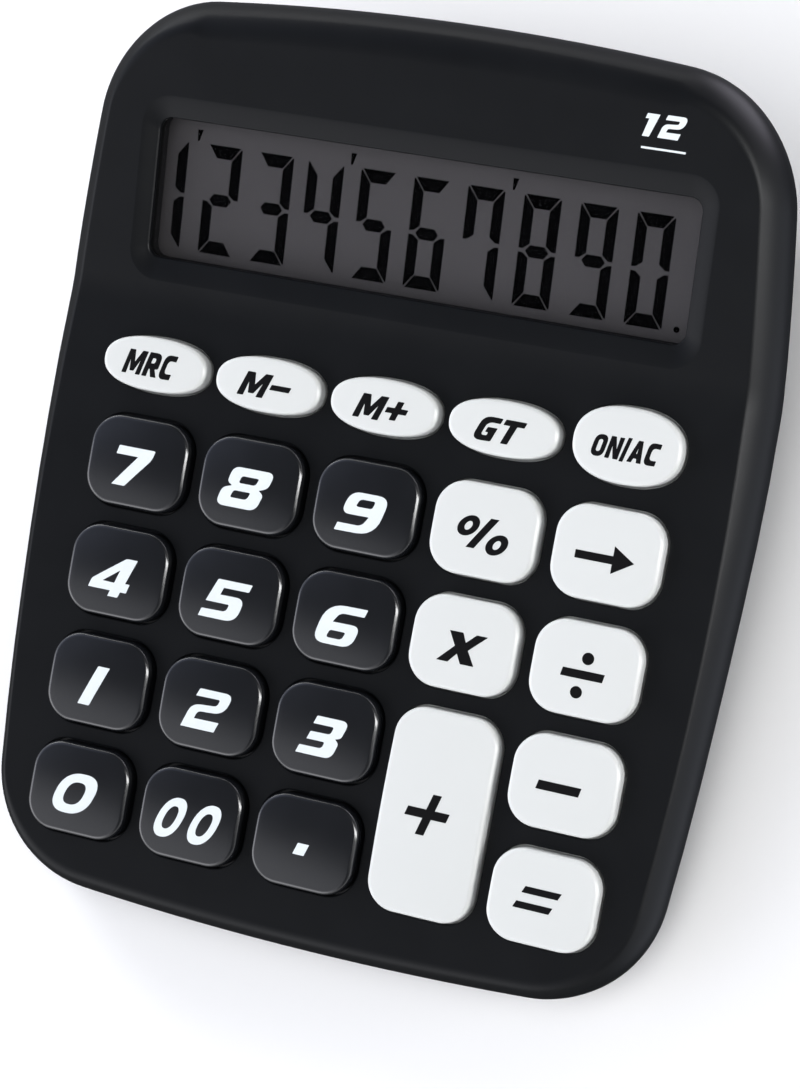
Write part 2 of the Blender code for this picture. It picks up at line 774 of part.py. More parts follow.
def add_screw(name, parent, spot, seat, reach, size):
    """A pan-head screw that points up: `seat` is the face under its head and `reach` is its tip."""
    head, height, shank = size
    profile = [(head * CROWN_RADIUS_SHARE, seat - height), (head, seat - height * RIM_HEIGHT_SHARE)]
    profile += [(head, seat), (shank, seat), (shank, reach - shank), (shank * TIP_RADIUS_SHARE, reach)]
    bm = bmesh.new()
    add_turned(bm, profile, 10)
    add_object(name, mesh_from(name, bm), parent, "steel", (*spot, 0))


def build_keypad_board(deck):
    bm = bmesh.new()
    low = (-BOARD_X, BOARD_FRONT, BOARD_TOP - BOARD_THICK)
    add_box(bm, low, (BOARD_X, BOARD_REAR, BOARD_TOP))
    board = add_object("keypad_board", mesh_from("keypad_board", bm), deck, "board_green")
    holes = board_holes(BOARD_POSTS, BOARD_TOP, BOARD_THICK)
    combine(board, "DIFFERENCE", add_helper("keypad_board_holes", holes, deck))
    seat = BOARD_TOP - BOARD_THICK - GAP
    for number, spot in enumerate(BOARD_POSTS, 1):
        reach = BOARD_TOP + SMALL_POST_BITE - GAP
        add_screw(f"keypad_screw_{number}", deck, spot, seat, reach, BOARD_SCREW)


def build_display(screen):
    middle = (WINDOW_LOW + WINDOW_HIGH) / 2
    half_y = (WINDOW_HIGH - WINDOW_LOW) / 2

    def plate(margin, low, high):
        bm = bmesh.new()
        outline = rounded_rectangle(WINDOW_X + margin, half_y + margin, WINDOW_CORNER, 4)
        shifted = [point + Vector((0, middle)) for point in outline]
        add_loft(bm, [at_height(shifted, low), at_height(shifted, high)])
        return bm

    lens = plate(LENS_MARGIN, LENS_TOP - LENS_THICK, LENS_TOP)
    add_object("display_window", mesh_from("display_window", lens), screen, "window_clear")
    surround = plate(FRAME_MARGIN, FRAME_TOP - FRAME_THICK, FRAME_TOP)
    frame = add_object("display_frame", mesh_from("display_frame", surround), screen, "frame_black")
    opening = plate(GAP, FRAME_TOP - 2 * FRAME_THICK, FRAME_TOP + FRAME_THICK)
    combine(frame, "DIFFERENCE", add_helper("frame_opening", opening, screen))


def build_display_glass(screen):
    """Two bonded plates: the front one runs on behind the rear one as a ledge for the contacts."""
    low = WINDOW_LOW - GLASS_MARGIN
    high = WINDOW_HIGH + GLASS_MARGIN
    ledge = high - CONTACT_LEDGE
    mid = GLASS_TOP - GLASS_THICK
    bottom = mid - GLASS_THICK
    half_x = WINDOW_X + GLASS_MARGIN
    section = [(low, bottom), (ledge, bottom), (ledge, mid)]
    section += [(high, mid), (high, GLASS_TOP), (low, GLASS_TOP)]
    bm = bmesh.new()
    add_loft(bm, [[(x, y, z) for y, z in section] for x in (-half_x, half_x)])
    add_object("display_glass", mesh_from("display_glass", bm), screen, "display_glass")
    strip = bmesh.new()
    top = mid - GAP
    start = high - STRIP_DEPTH
    add_box(strip, (-half_x + STRIP_DEPTH, start, top - STRIP_HEIGHT), (half_x - STRIP_DEPTH, high, top))
    add_object("contact_strip", mesh_from("contact_strip", strip), screen, "strip_pink")


def build_logic_board(screen):
    cut = LOGIC_BOARD_CHAMFER
    x, low, high = LOGIC_BOARD_X, LOGIC_BOARD_LOW, LOGIC_BOARD_HIGH
    outline = [(-x, low), (x, low), (x, high - cut)]
    outline += [(x - cut, high), (cut - x, high), (-x, high - cut)]
    points = [Vector(point) for point in outline]
    bottom = LOGIC_BOARD_TOP - BOARD_THICK
    bm = bmesh.new()
    add_loft(bm, [at_height(points, bottom), at_height(points, LOGIC_BOARD_TOP)])
    board = add_object("logic_board", mesh_from("logic_board", bm), screen, "board_green")
    holes = board_holes(SCREEN_POSTS, LOGIC_BOARD_TOP, BOARD_THICK)
    combine(board, "DIFFERENCE", add_helper("logic_board_holes", holes, screen))
    for number, spot in enumerate(SCREEN_POSTS, 1):
        reach = LOGIC_BOARD_TOP + SMALL_POST_BITE - GAP
        add_screw(f"logic_screw_{number}", screen, spot, bottom - GAP, reach, BOARD_SCREW)
    chip = bmesh.new()
    add_turned(chip, [(radius, bottom - GAP - drop) for radius, drop in CHIP_PROFILE], 18)
    add_object("chip_cover", mesh_from("chip_cover", chip), screen, "epoxy_black", (0, CHIP_Y, 0))


def build_case_screws(desk):
    for number, spot in enumerate(CASE_SCREWS, 1):
        seat = SINK_TOP - GAP
        add_screw(f"case_screw_{number}", desk, spot, seat, CASE_SCREW_REACH, CASE_SCREW)


# ---------------------------------------------------------------- battery and wiring


def build_cell(desk):
    """A cylindrical cell on its side, its raised end towards +X."""
    end = CELL_LENGTH + NUB_LENGTH
    profile = [(CELL_RADIUS, 0.0), (CELL_RADIUS, CELL_LENGTH)]
    profile += [(NUB_RADIUS, CELL_LENGTH), (NUB_RADIUS, end)]
    bm = bmesh.new()
    add_turned(bm, profile, 18)
    centre_z = FOOT_STAND + DOOR_THICK + GAP + CELL_RADIUS + GAP
    turn = Matrix.Rotation(math.pi / 2, 4, "Y")
    bmesh.ops.transform(bm, matrix=turn, verts=bm.verts)
    place = (CELL_START, CELL_Y, centre_z)
    add_object("battery_cell", mesh_from("battery_cell", bm), desk, "cell_wrap", place)
    return centre_z


def contact_outline():
    """A plate with a narrow tab on top, seen along x."""
    wide, tab = CONTACT_HALF_Y, TAB_HALF_Y
    right = [(wide, CONTACT_BOTTOM), (wide, CONTACT_TOP), (tab, CONTACT_TOP), (tab, TAB_TOP)]
    return right + [(-y, z) for y, z in reversed(right)]


def build_contact(name, desk, x):
    bm = bmesh.new()
    section = [(CELL_Y + y, z) for y, z in contact_outline()]
    add_loft(bm, [[(side, y, z) for y, z in section] for side in (x, x + CONTACT_THICK)])
    add_object(name, mesh_from(name, bm), desk, "steel")


def add_tube(name, points, radius, parent, slot, resolution=2):
    curve = bpy.data.curves.new(name, "CURVE")
    curve.dimensions = "3D"
    spline = curve.splines.new("POLY")
    spline.points.add(len(points) - 1)
    for target, point in zip(spline.points, points):
        target.co = (*point, 1.0)
    curve.bevel_depth = radius
    curve.bevel_resolution = resolution
    curve.use_fill_caps = True
    add_object(name, curve, parent, slot)


def build_spring(desk, centre_z):
    """A conical wire spring between the left contact and the flat end of the cell."""
    start = POCKET_LEFT + 2 * GAP + CONTACT_THICK + SPRING_WIRE
    end = CELL_START - GAP - SPRING_WIRE
    points = []
    steps = SPRING_TURNS * SPRING_STEPS
    for step in range(steps + 1):
        share = step / steps
        angle = 2 * math.pi * SPRING_TURNS * share
        radius = SPRING_RADII[0] + (SPRING_RADII[1] - SPRING_RADII[0]) * share
        x = start + (end - start) * share
        points.append((x, CELL_Y + radius * math.cos(angle), centre_z + radius * math.sin(angle)))
    add_tube("contact_spring", points, SPRING_WIRE, desk, "steel", resolution=1)


def smooth_route(points, steps):
    """Points on a smooth curve (Catmull-Rom) through a hand-chosen route."""
    route = [Vector(point) for point in points]
    route = [2 * route[0] - route[1]] + route + [2 * route[-1] - route[-2]]
    found = []
    for a, b, c, d in zip(route, route[1:], route[2:], route[3:]):
        for step in range(steps):
            t = step / steps
            bend = (2 * a - 5 * b + 4 * c - d) * t**2
            twist = (3 * b - a - 3 * c + d) * t**3
            found.append((2 * b + (c - a) * t + bend + twist) / 2)
    return found + [route[-2]]


def build_leads(desk):
    """Short leads from the tops of the contact tabs to the underside of the logic board."""
    red = [(0.0270, 0.0880, 0.0221), (0.0262, 0.0886, 0.0240), (0.0225, 0.0910, 0.0246)]
    red += [(0.0190, 0.0935, 0.0250), (0.0180, 0.0945, 0.0262)]
    black = [(-0.0305, 0.0880, 0.0221), (-0.0297, 0.0886, 0.0240), (-0.0250, 0.0910, 0.0246)]
    black += [(-0.0200, 0.0935, 0.0250), (-0.0190, 0.0945, 0.0262)]
    add_tube("lead_red", smooth_route(red, LEAD_STEPS), LEAD_RADIUS, desk, "lead_red")
    add_tube("lead_black", smooth_route(black, LEAD_STEPS), LEAD_RADIUS, desk, "lead_black")


def build_ribbon(deck):
    """A flat cable that sags between the undersides of the two boards."""
    route = [(0, 0.0540, -0.01005), (0, 0.0590, -0.01010), (0, 0.0630, -0.01120)]
    route += [(0, 0.0675, -0.01235), (0, 0.0715, -0.01195), (0, 0.0765, -0.01085)]
    line = smooth_route(route, LEAD_STEPS)
    section = [(point.y, point.z) for point in line]
    section += [(y, z - RIBBON_THICK) for y, z in reversed(section)]
    bm = bmesh.new()
    add_loft(bm, [[(x, y, z) for y, z in section] for x in (-RIBBON_HALF_X, RIBBON_HALF_X)])
    add_object("ribbon_cable", mesh_from("ribbon_cable", bm), deck, "ribbon_grey")


# ---------------------------------------------------------------- assembly


def centre_over_origin(desk):
    """Moves the whole object so that its box stands centred on the origin."""
    bpy.context.view_layer.update()
    ends = []
    for obj in bpy.context.scene.objects:
        if obj.type == "MESH" and not obj.hide_render:
            ends += [(obj.matrix_world @ Vector(corner)).y for corner in obj.bound_box]
    desk.location.y -= (min(ends) + max(ends)) / 2


def main():
    clear_scene()
    desk = add_empty("desk")
    deck = add_empty("deck", desk, (0, 0, FACE_HEIGHT), KEYPAD_TILT)
    screen = add_empty("screen", deck, (0, FOLD_Y, 0), DISPLAY_TILT)
    keys = all_keys()
    build_top_cover(desk, deck, screen, keys)
    build_bottom_cover(desk, deck)
    build_battery_door(desk)
    build_feet(desk)
    for key in keys:
        build_key(key, deck)
    build_key_mat(deck, keys)
    build_keypad_board(deck)
    build_display(screen)
    build_display_glass(screen)
    build_logic_board(screen)
    build_case_screws(desk)
    centre_z = build_cell(desk)
    build_contact("contact_negative", desk, POCKET_LEFT + GAP)
    build_contact("contact_positive", desk, POCKET_RIGHT - GAP - CONTACT_THICK)
    build_spring(desk, centre_z)
    build_leads(desk)
    build_ribbon(deck)
    centre_over_origin(desk)


main()
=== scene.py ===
"""Looks of the desk calculator: finished pieces, materials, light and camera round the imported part.

Metres, +Z up. Pieces are modelled in one of three frames, as the part itself is: DESK stands level,
DECK lies in the keypad's face with its origin at the middle of the square keys, and SCREEN lies in
the display's face with its origin on the fold.
"""

import json
import math
from collections import namedtuple

import bmesh
import bpy
from mathutils import Matrix, Vector


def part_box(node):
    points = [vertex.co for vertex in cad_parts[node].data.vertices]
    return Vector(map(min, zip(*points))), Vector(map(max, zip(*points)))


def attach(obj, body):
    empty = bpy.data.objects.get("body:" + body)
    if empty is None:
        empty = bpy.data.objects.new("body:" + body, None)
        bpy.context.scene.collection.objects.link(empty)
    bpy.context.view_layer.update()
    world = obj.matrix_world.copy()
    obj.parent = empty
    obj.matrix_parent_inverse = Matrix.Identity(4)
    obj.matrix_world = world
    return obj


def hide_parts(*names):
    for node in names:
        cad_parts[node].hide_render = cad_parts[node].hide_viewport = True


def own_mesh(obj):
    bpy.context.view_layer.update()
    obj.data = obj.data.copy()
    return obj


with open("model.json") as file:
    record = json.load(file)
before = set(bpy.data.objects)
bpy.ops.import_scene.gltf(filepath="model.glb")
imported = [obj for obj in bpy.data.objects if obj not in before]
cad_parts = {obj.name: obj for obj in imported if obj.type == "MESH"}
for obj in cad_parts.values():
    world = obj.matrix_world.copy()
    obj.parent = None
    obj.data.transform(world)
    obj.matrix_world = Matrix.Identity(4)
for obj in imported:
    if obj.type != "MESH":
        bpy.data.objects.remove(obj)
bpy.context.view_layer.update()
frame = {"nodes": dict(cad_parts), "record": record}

# ---------------------------------------------------------------- dimensions shared with the part

GAP = 0.0003
WALL = 0.0022
SHADOW = 0.0005
LIP = 0.0010
LIP_HEIGHT = 0.0018
KEYPAD_TILT = math.radians(7.0)
DISPLAY_TILT = math.radians(10.8)
FACE_HEIGHT = 0.0217
FOLD_Y = 0.0675

Barrel = namedtuple(
    "Barrel",
    "half_width waist_y side_radius front_y front_radius rear_y rear_radius front_corner"
    " rear_corner",
)
FACE = Barrel(0.0718, 0.032, 0.672, -0.0531, 0.710, 0.1237, 0.555, 0.0221, 0.0209)
LEAN_FRONT = 0.0030
LEAN_DISPLAY = 0.0047
LEAN_REAR = 0.0066
LEAN_GROWS_BY_Y = 0.080
SWELL_SHARE = 0.8
SWELL_WALL = 1.4
FRONT_WALL = 0.0090
REAR_WALL = 0.0120
FOOT_STAND = 0.0012
FLOOR = 0.0022
TUCK = 0.42
TUCK_CURVE = 1.1
BASE_EDGE = 0.0012

COLUMN = 0.0250
ROW = 0.0225
CAP_X = 0.0217
CAP_Y = 0.0183
CAP_CORNER = 0.0060
CAP_TOP = 0.0032
CAP_SKIN = 0.0012
CAP_ROOF = 0.0018
OVAL_Y = 0.0540
OVAL_SIZE = (0.0227, 0.0109)
BIG_OVAL_Y = 0.0550
BIG_OVAL_SIZE = (0.0219, 0.0149)
OVAL_POWER = 2.35
FLANGE = 0.0010
OVAL_FLANGE = 0.0008
FLANGE_THICK = 0.0010
KEY_CLEARANCE = 0.00045
POST_RADIUS = 0.0018
POST_END = -0.0046

BOARD_X = 0.0615
BOARD_FRONT = -0.0415
BOARD_REAR = 0.0623
MAT_TOP = -0.0069
MAT_THICK = 0.0008
DOME_TOP = POST_END - GAP
DOME_RADII = (0.0042, 0.0022)
BOARD_TOP = MAT_TOP - MAT_THICK - GAP
BOARD_POSTS = [(-0.0375, -0.0225), (-0.0375, 0.0225), (0.0375, 0.0), (0.0375, 0.0225)]
BOARD_POST_RADIUS = 0.0023

WINDOW_X = 0.0568
WINDOW_LOW = 0.0080
WINDOW_HIGH = 0.0362
WINDOW_CORNER = 0.0026
BEVEL_SIDE = 0.0026
BEVEL_END = 0.0036
BEVEL_DEPTH = 0.0010
LENS_TOP = -0.0025
LENS_THICK = 0.0012
LENS_MARGIN = 0.0015
GLASS_TOP = -0.0063
LOGIC_BOARD_TOP = -0.0100
SCREEN_POSTS = [(-0.0638, 0.0100), (0.0638, 0.0100), (-0.0634, 0.0300), (0.0634, 0.0300)]

CASE_SCREWS = [(-0.0375, -0.0450), (0.0375, -0.0450), (-0.0560, 0.0668), (0.0560, 0.0668)]
SPLIT_HEIGHT = 0.0068
CASE_POST_RADIUS = 0.0028
BOSS_RADIUS = 0.0042
SINK_RADIUS = 0.0029
SINK_TOP = 0.0034
CASE_HOLE_RADIUS = 0.0014
CASE_SCREW_REACH = 0.0120
SMALL_HOLE_RADIUS = 0.0012
SMALL_POST_BITE = 0.0040

FOOT_RADIUS = 0.0055
FOOT_SINK = 0.0008
FEET = {
    "front_left": (-0.0520, -0.0330),
    "front_right": (0.0520, -0.0330),
    "rear_left": (-0.0465, 0.1020),
    "rear_right": (0.0465, 0.1020),
}

CELL_RADIUS = 0.0071
CELL_START = -0.0240
CELL_LENGTH = 0.0495
NUB_RADIUS = 0.0026
NUB_LENGTH = 0.0010
CELL_Y = 0.0880
HOUSE_X = 0.0350
HOUSE_FRONT = 0.0783
HOUSE_REAR = 0.0974
HOUSE_TOP = 0.0194
STEP_REAR = 0.1130
STEP_TOP = 0.0050
POCKET_LEFT = -0.0310
POCKET_RIGHT = 0.0275
POCKET_HALF_Y = 0.0077
POCKET_TOP = 0.0179
DOOR_X = 0.0320
DOOR_TONGUE = 0.0015
DOOR_FRONT = 0.0795
DOOR_REAR = 0.1133
DOOR_THICK = 0.0017
TONGUE_THICK = 0.0007

foot_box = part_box("foot_front_left")
DESK_Y = (foot_box[0].y + foot_box[1].y) / 2 - FEET["front_left"][1]
DESK = Matrix.Translation((0, DESK_Y, 0))
DECK = DESK @ Matrix.Translation((0, 0, FACE_HEIGHT)) @ Matrix.Rotation(KEYPAD_TILT, 4, "X")
SCREEN = DECK @ Matrix.Translation((0, FOLD_Y, 0)) @ Matrix.Rotation(DISPLAY_TILT, 4, "X")

# ---------------------------------------------------------------- finish that only the looks have

FOLD_RADIUS = 0.030
FOLD_TANGENT = FOLD_RADIUS * math.tan(DISPLAY_TILT / 2)
WALL_POWER = 3.0
CREASE_SIDE = 0.0005
CREASE_CORNER = 0.0014
CREASE_REAR = 0.0032
CREASE_DROP = 0.6
CREASE_STEPS = 7
WALL_STEPS = 10
WALL_CROWDING = 1.4
SEAM_ROUND = 0.0004
RIM = 0.00035
CAP_FILLET = 0.0009
CROWN_X = 0.00034
CROWN_Y = 0.00060
CROWN_STEPS = 8
CROWN_CROWDING = 0.8
FILLET_STEPS = 8
SIDE_PARTS = 8
CORNER_PARTS = 12
OVAL_POINTS = 72
RIM_STEPS = 4
WINDOW_LIP = 0.0005
WINDOW_EASE = 0.0010
BEVEL_STEPS = 10
BEVEL_PULL = (0.8, -0.00006)
CUT_ABOVE = 0.001
INK = 0.00004
SEGMENT_INK = 0.00006
LENS_EDGE = 0.0002
EDGE = 0.0003
FLARE = 0.0004
SLOT = 0.0010
TAB_HALF = 0.0015
GRIP_X = 0.0090
GRIP_HALF = 0.00075
ARROW_HALF = 0.0032
ARROW_DEPTH = 0.00035
FOOT_ROUND = 0.0005

# ---------------------------------------------------------------- materials


class Nodes:
    """A short way to write a node tree."""

    def __init__(self, tree):
        self.tree = tree
        tree.nodes.clear()

    def add(self, kind, settings=None, **inputs):
        """A node. An input is named, or i0, i1 and so on, and takes a socket or a value."""
        node = self.tree.nodes.new("ShaderNode" + kind)
        for key, value in (settings or {}).items():
            setattr(node, key, value)
        for name, value in inputs.items():
            if name[1:].isdigit():
                socket = node.inputs[int(name[1:])]
            else:
                socket = next(s for s in node.inputs
                              if s.name.replace(" ", "_") == name and s.enabled)
            if isinstance(value, bpy.types.NodeSocket):
                self.tree.links.new(value, socket)
            else:
                socket.default_value = value
        return node

    def ramp(self, fac, stops, interpolation="LINEAR"):
        node = self.add("ValToRGB", i0=fac)
        node.color_ramp.interpolation = interpolation
        elements = node.color_ramp.elements
        while len(elements) < len(stops):
            elements.new(1.0)
        for element, (place, colour) in zip(elements, stops):
            element.position = place
            element.color = rgba(colour)
        return node.outputs[0]

    def span(self, value, low, high, start=0.0, end=1.0, kind="LINEAR"):
        """value from start..end, carried to low..high."""
        settings = {"interpolation_type": kind}
        node = self.add("MapRange", settings, i0=value, i1=start, i2=end, i3=low, i4=high)
        return node.outputs[0]

    def mix(self, fac, a, b, blend="MIX"):
        settings = {"data_type": "RGBA", "blend_type": blend}
        return self.add("Mix", settings, i0=fac, i6=a, i7=b).outputs[2]

    def noise(self, place, scale, detail):
        return self.add("TexNoise", i0=place, Scale=scale, Detail=detail).outputs[0]

    def bump(self, height, strength, distance):
        return self.add("Bump", Height=height, Strength=strength, Distance=distance).outputs[0]

    def surface(self, **inputs):
        """The output, fed by one principled shader."""
        shader = self.add("BsdfPrincipled", **inputs)
        self.add("OutputMaterial", Surface=shader.outputs[0])


MATERIALS = {}


def new_material(name):
    """Its nodes, and the place in the object. The material itself goes into MATERIALS."""
    made = MATERIALS[name] = bpy.data.materials.new(name)
    made.use_nodes = True
    n = Nodes(made.node_tree)
    return n, n.add("TexCoord").outputs["Object"]


def rgba(colour):
    return (*colour, 1.0)


def moulded(name, colour, roughness, spread=0.04, grain=3200.0, depth=6e-6, mottle=90.0, tint=0.12,
            gloss=0.5):
    """Moulded plastic: fine grain as bump, with slightly cloudy colour and roughness."""
    n, place = new_material(name)
    cloud = n.noise(place, mottle, 4.0)
    dark, light = [rgba([min(1.0, c * (1 + turn)) for c in colour]) for turn in (-tint, tint)]
    n.surface(
        Base_Color=n.mix(cloud, dark, light),
        Roughness=n.span(cloud, roughness - spread, roughness + spread),
        Normal=n.bump(n.noise(place, grain, 2.0), 0.6, depth),
        Specular_IOR_Level=gloss,
    )


def clear_plastic(name):
    """Thin clear plastic, seen only by its reflections, with faint smears."""
    n, place = new_material(name)
    n.surface(
        Base_Color=rgba((0.004, 0.004, 0.0045)),
        Roughness=n.span(n.noise(place, 60.0, 3.0), 0.02, 0.07),
        Alpha=0.02,
        Specular_IOR_Level=0.6,
    )


def board(name):
    """Solder mask over long raised traces."""
    n, place = new_material(name)
    trace = n.add("TexBrick", {"offset": 0.35}, i0=place, Scale=260.0, Mortar_Size=0.03,
                  Brick_Width=1.6, Row_Height=0.30).outputs[1]
    n.surface(
        Base_Color=n.mix(trace, rgba((0.012, 0.085, 0.035)), rgba((0.035, 0.19, 0.07))),
        Roughness=n.span(n.noise(place, 400.0, 3.0), 0.26, 0.42),
        Normal=n.bump(trace, 0.5, 4e-5),
    )


def metal(name, colour, roughness, depth):
    """Plated or drawn metal with fine streaks along x."""
    n, place = new_material(name)
    stretched = n.add("Mapping", i0=place, Scale=(300.0, 5000.0, 5000.0)).outputs[0]
    lines = n.noise(stretched, 1.0, 3.0)
    n.surface(
        Base_Color=n.mix(lines, rgba([c * 0.85 for c in colour]), rgba(colour)),
        Roughness=n.span(lines, roughness - 0.08, roughness + 0.08),
        Normal=n.bump(lines, 0.4, depth),
        Metallic=1.0,
    )


def sleeve(name):
    """A printed sleeve: two bands along the cell, with bare metal at its ends."""
    n, place = new_material(name)
    along = n.add("SeparateXYZ", i0=place).outputs[0]
    bands = (
        (0.0, (0.55, 0.55, 0.53)), (0.012, (0.010, 0.045, 0.13)), (0.66, (0.012, 0.055, 0.16)),
        (0.665, (0.62, 0.64, 0.66)), (0.69, (0.75, 0.40, 0.04)), (0.985, (0.62, 0.62, 0.60)),
    )
    fine = n.noise(place, 1500.0, 2.0)
    n.surface(
        Base_Color=n.ramp(n.span(along, 0.0, 1.0, 0.0, CELL_LENGTH), bands, "CONSTANT"),
        Roughness=n.span(fine, 0.22, 0.36),
        Normal=n.bump(fine, 0.3, 1e-5),
        Metallic=0.35,
    )


moulded("case_black", (0.0044, 0.0050, 0.0060), 0.40, depth=1e-5, gloss=0.13)
moulded("key_black", (0.0070, 0.0078, 0.0098), 0.21, 0.02, 900.0, 2e-6, 150.0, gloss=0.8)
moulded("key_white", (0.645, 0.66, 0.65), 0.32, 0.03, 1800.0, 4e-6, tint=0.012)
clear_plastic("window_clear")
moulded("display_glass", (0.056, 0.0535, 0.057), 0.30, 0.02, 5000.0, 2e-6, 25.0, 0.03, 0.12)
moulded("frame_black", (0.005, 0.005, 0.006), 0.60, grain=4000.0, gloss=0.15)
moulded("silicone_grey", (0.30, 0.31, 0.32), 0.62, 0.06, 2200.0, 2e-5, tint=0.06)
moulded("strip_pink", (0.55, 0.30, 0.32), 0.60, grain=2600.0)
board("board_green")
moulded("epoxy_black", (0.006, 0.006, 0.006), 0.16, grain=300.0, depth=5e-5)
metal("steel", (0.62, 0.62, 0.60), 0.30, 4e-6)
sleeve("cell_wrap")
moulded("ribbon_grey", (0.45, 0.45, 0.46), 0.45, grain=1500.0)
moulded("lead_red", (0.50, 0.015, 0.012), 0.42, grain=1500.0)
moulded("lead_black", (0.009, 0.009, 0.009), 0.42, grain=1500.0)
moulded("foot_rubber", (0.014, 0.014, 0.014), 0.82, 0.05, 2500.0, 3e-5)
moulded("ink_white", (0.725, 0.775, 0.80), 0.45, 0.05, 5000.0, mottle=300.0, tint=0.03)
moulded("ink_black", (0.0035, 0.0035, 0.004), 0.50, 0.05, 5000.0, mottle=300.0, gloss=0.08)
moulded("segment_black", (0.0008, 0.0008, 0.0010), 0.35, 0.05, 5000.0, mottle=300.0, gloss=0.0)


# ---------------------------------------------------------------- mesh helpers


def mesh_from(name, bm, sharp=32):
    bmesh.ops.recalc_face_normals(bm, faces=bm.faces)
    mesh = bpy.data.meshes.new(name)
    bm.to_mesh(mesh)
    bm.free()
    mesh.shade_smooth()
    mesh.set_sharp_from_angle(angle=math.radians(sharp))
    return mesh


def place(name, mesh, matrix):
    obj = bpy.data.objects.new(name, mesh)
    bpy.context.scene.collection.objects.link(obj)
    obj.matrix_world = matrix
    return obj


def piece(name, mesh, matrix, body, slot, finish=None, replaces=(), weigh=True, baked=True):
    """A piece from a mesh made in the frame `matrix`, which goes into its points if it is baked.

    Where it is weighed, its large flat faces set the normals at their edges, and so shade flat.
    """
    if baked:
        mesh.transform(matrix)
        matrix = Matrix.Identity(4)
    obj = place(name, mesh, matrix)
    mesh.materials.clear()
    mesh.materials.append(MATERIALS[finish or slot])
    if weigh:
        modifier = obj.modifiers.new("weigh", "WEIGHTED_NORMAL")
        modifier.keep_sharp = True
        modifier.weight = 80
    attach(obj, body)
    if replaces:
        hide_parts(*replaces)
    return obj


def carve(name, bm, matrix, steps, sharp=32):
    """bm in the frame `matrix` with boolean steps applied. Each step is (operation, bm, frame)."""
    obj = place(name, mesh_from(name, bm, sharp), matrix)
    helpers = []
    for index, (operation, cutter, where) in enumerate(steps):
        label = f"{name}_helper_{index}"
        helpers.append(place(label, mesh_from(label, cutter), where))
        boolean = obj.modifiers.new(label, "BOOLEAN")
        boolean.operation = operation
        boolean.solver = "EXACT"
        boolean.object = helpers[-1]
    bpy.context.view_layer.update()
    evaluated = obj.evaluated_get(bpy.context.evaluated_depsgraph_get())
    mesh = bpy.data.meshes.new_from_object(evaluated)
    mesh.name = name
    for helper in [obj] + helpers:
        old = helper.data
        bpy.data.objects.remove(helper)
        bpy.data.meshes.remove(old)
    mesh.shade_smooth()
    mesh.set_sharp_from_angle(angle=math.radians(sharp))
    return mesh


def add_loft(bm, rings, folds=None):
    """Joins equal rings into one closed skin. `folds` pairs the points its ends bend at."""
    rows = [[bm.verts.new(point) for point in ring] for ring in rings]
    for lower, upper in zip(rows, rows[1:]):
        for i in range(len(lower)):
            j = (i + 1) % len(lower)
            bm.faces.new((lower[i], lower[j], upper[j], upper[i]))
    for row in (rows[0], rows[-1]):
        if not folds:
            bm.faces.new(row)
            continue
        first, last = folds[0], folds[-1]
        bm.faces.new(row[first[1]:] + row[: first[0] + 1])
        for (a, b), (c, d) in zip(folds, folds[1:]):
            bm.faces.new((row[a], row[c], row[d], row[b]))
        bm.faces.new(row[last[0] : last[1] + 1])
    return bm


def add_prism(bm, section, axis, low, high):
    """A closed section of two coordinates, drawn out along the third."""
    rings = [[[*point[:axis], end, *point[axis:]] for point in section] for end in (low, high)]
    return add_loft(bm, rings)


def add_box(bm, low, high):
    corners = [(low[0], low[1]), (high[0], low[1]), (high[0], high[1]), (low[0], high[1])]
    return add_prism(bm, corners, 2, low[2], high[2])


def mirrored(section):
    """A half section of (x, z) and its mirror image, as one closed section."""
    return section + [(-x, z) for x, z in reversed(section)]


def add_turned(bm, profile, sides, centre=(0, 0)):
    """A profile of (radius, z) turned round an upright axis."""
    turns = [2 * math.pi * i / sides for i in range(sides)]
    x, y = centre
    rings = [[(x + r * math.cos(a), y + r * math.sin(a), z) for a in turns] for r, z in profile]
    return add_loft(bm, rings)


def rounded_rectangle(half_x, half_y, radius, steps, along=1):
    """A closed outline, with each straight side in `along` parts."""
    points = []
    for quarter, (sign_x, sign_y) in enumerate(((1, 1), (-1, 1), (-1, -1), (1, -1))):
        centre = Vector((sign_x * (half_x - radius), sign_y * (half_y - radius)))
        for step in range(steps + 1):
            angle = math.pi / 2 * (quarter + step / steps)
            points.append(centre + radius * Vector((math.cos(angle), math.sin(angle))))
    if along == 1:
        return points
    found = []
    for i, point in enumerate(points):
        found.append(point)
        if i % (steps + 1) == steps:
            ahead = points[(i + 1) % len(points)]
            found += [point.lerp(ahead, part / along) for part in range(1, along)]
    return found


def superellipse(half_x, half_y, count, power=OVAL_POWER):
    points = []
    for i in range(count):
        angle = 2 * math.pi * i / count
        shares = [math.copysign(abs(v) ** (2 / power), v)
                  for v in (math.cos(angle), math.sin(angle))]
        points.append(Vector((half_x * shares[0], half_y * shares[1])))
    return points


def at_height(points, z):
    return [(point.x, point.y, z) for point in points]


def quarter_turn(size, steps):
    """Points of a quarter turn: (how far out, how far still to go up), both from size or 0."""
    angles = [math.pi / 2 * step / steps for step in range(steps + 1)]
    return [(size * (1 - math.cos(a)), size * (1 - math.sin(a))) for a in angles]


def bezier(a, b, c, t):
    return tuple((1 - t) ** 2 * p + 2 * t * (1 - t) * q + t**2 * r for p, q, r in zip(a, b, c))


def smoothstep(low, high, value):
    t = min(1.0, max(0.0, (value - low) / (high - low)))
    return t * t * (3 - 2 * t)


# ---------------------------------------------------------------- case outline


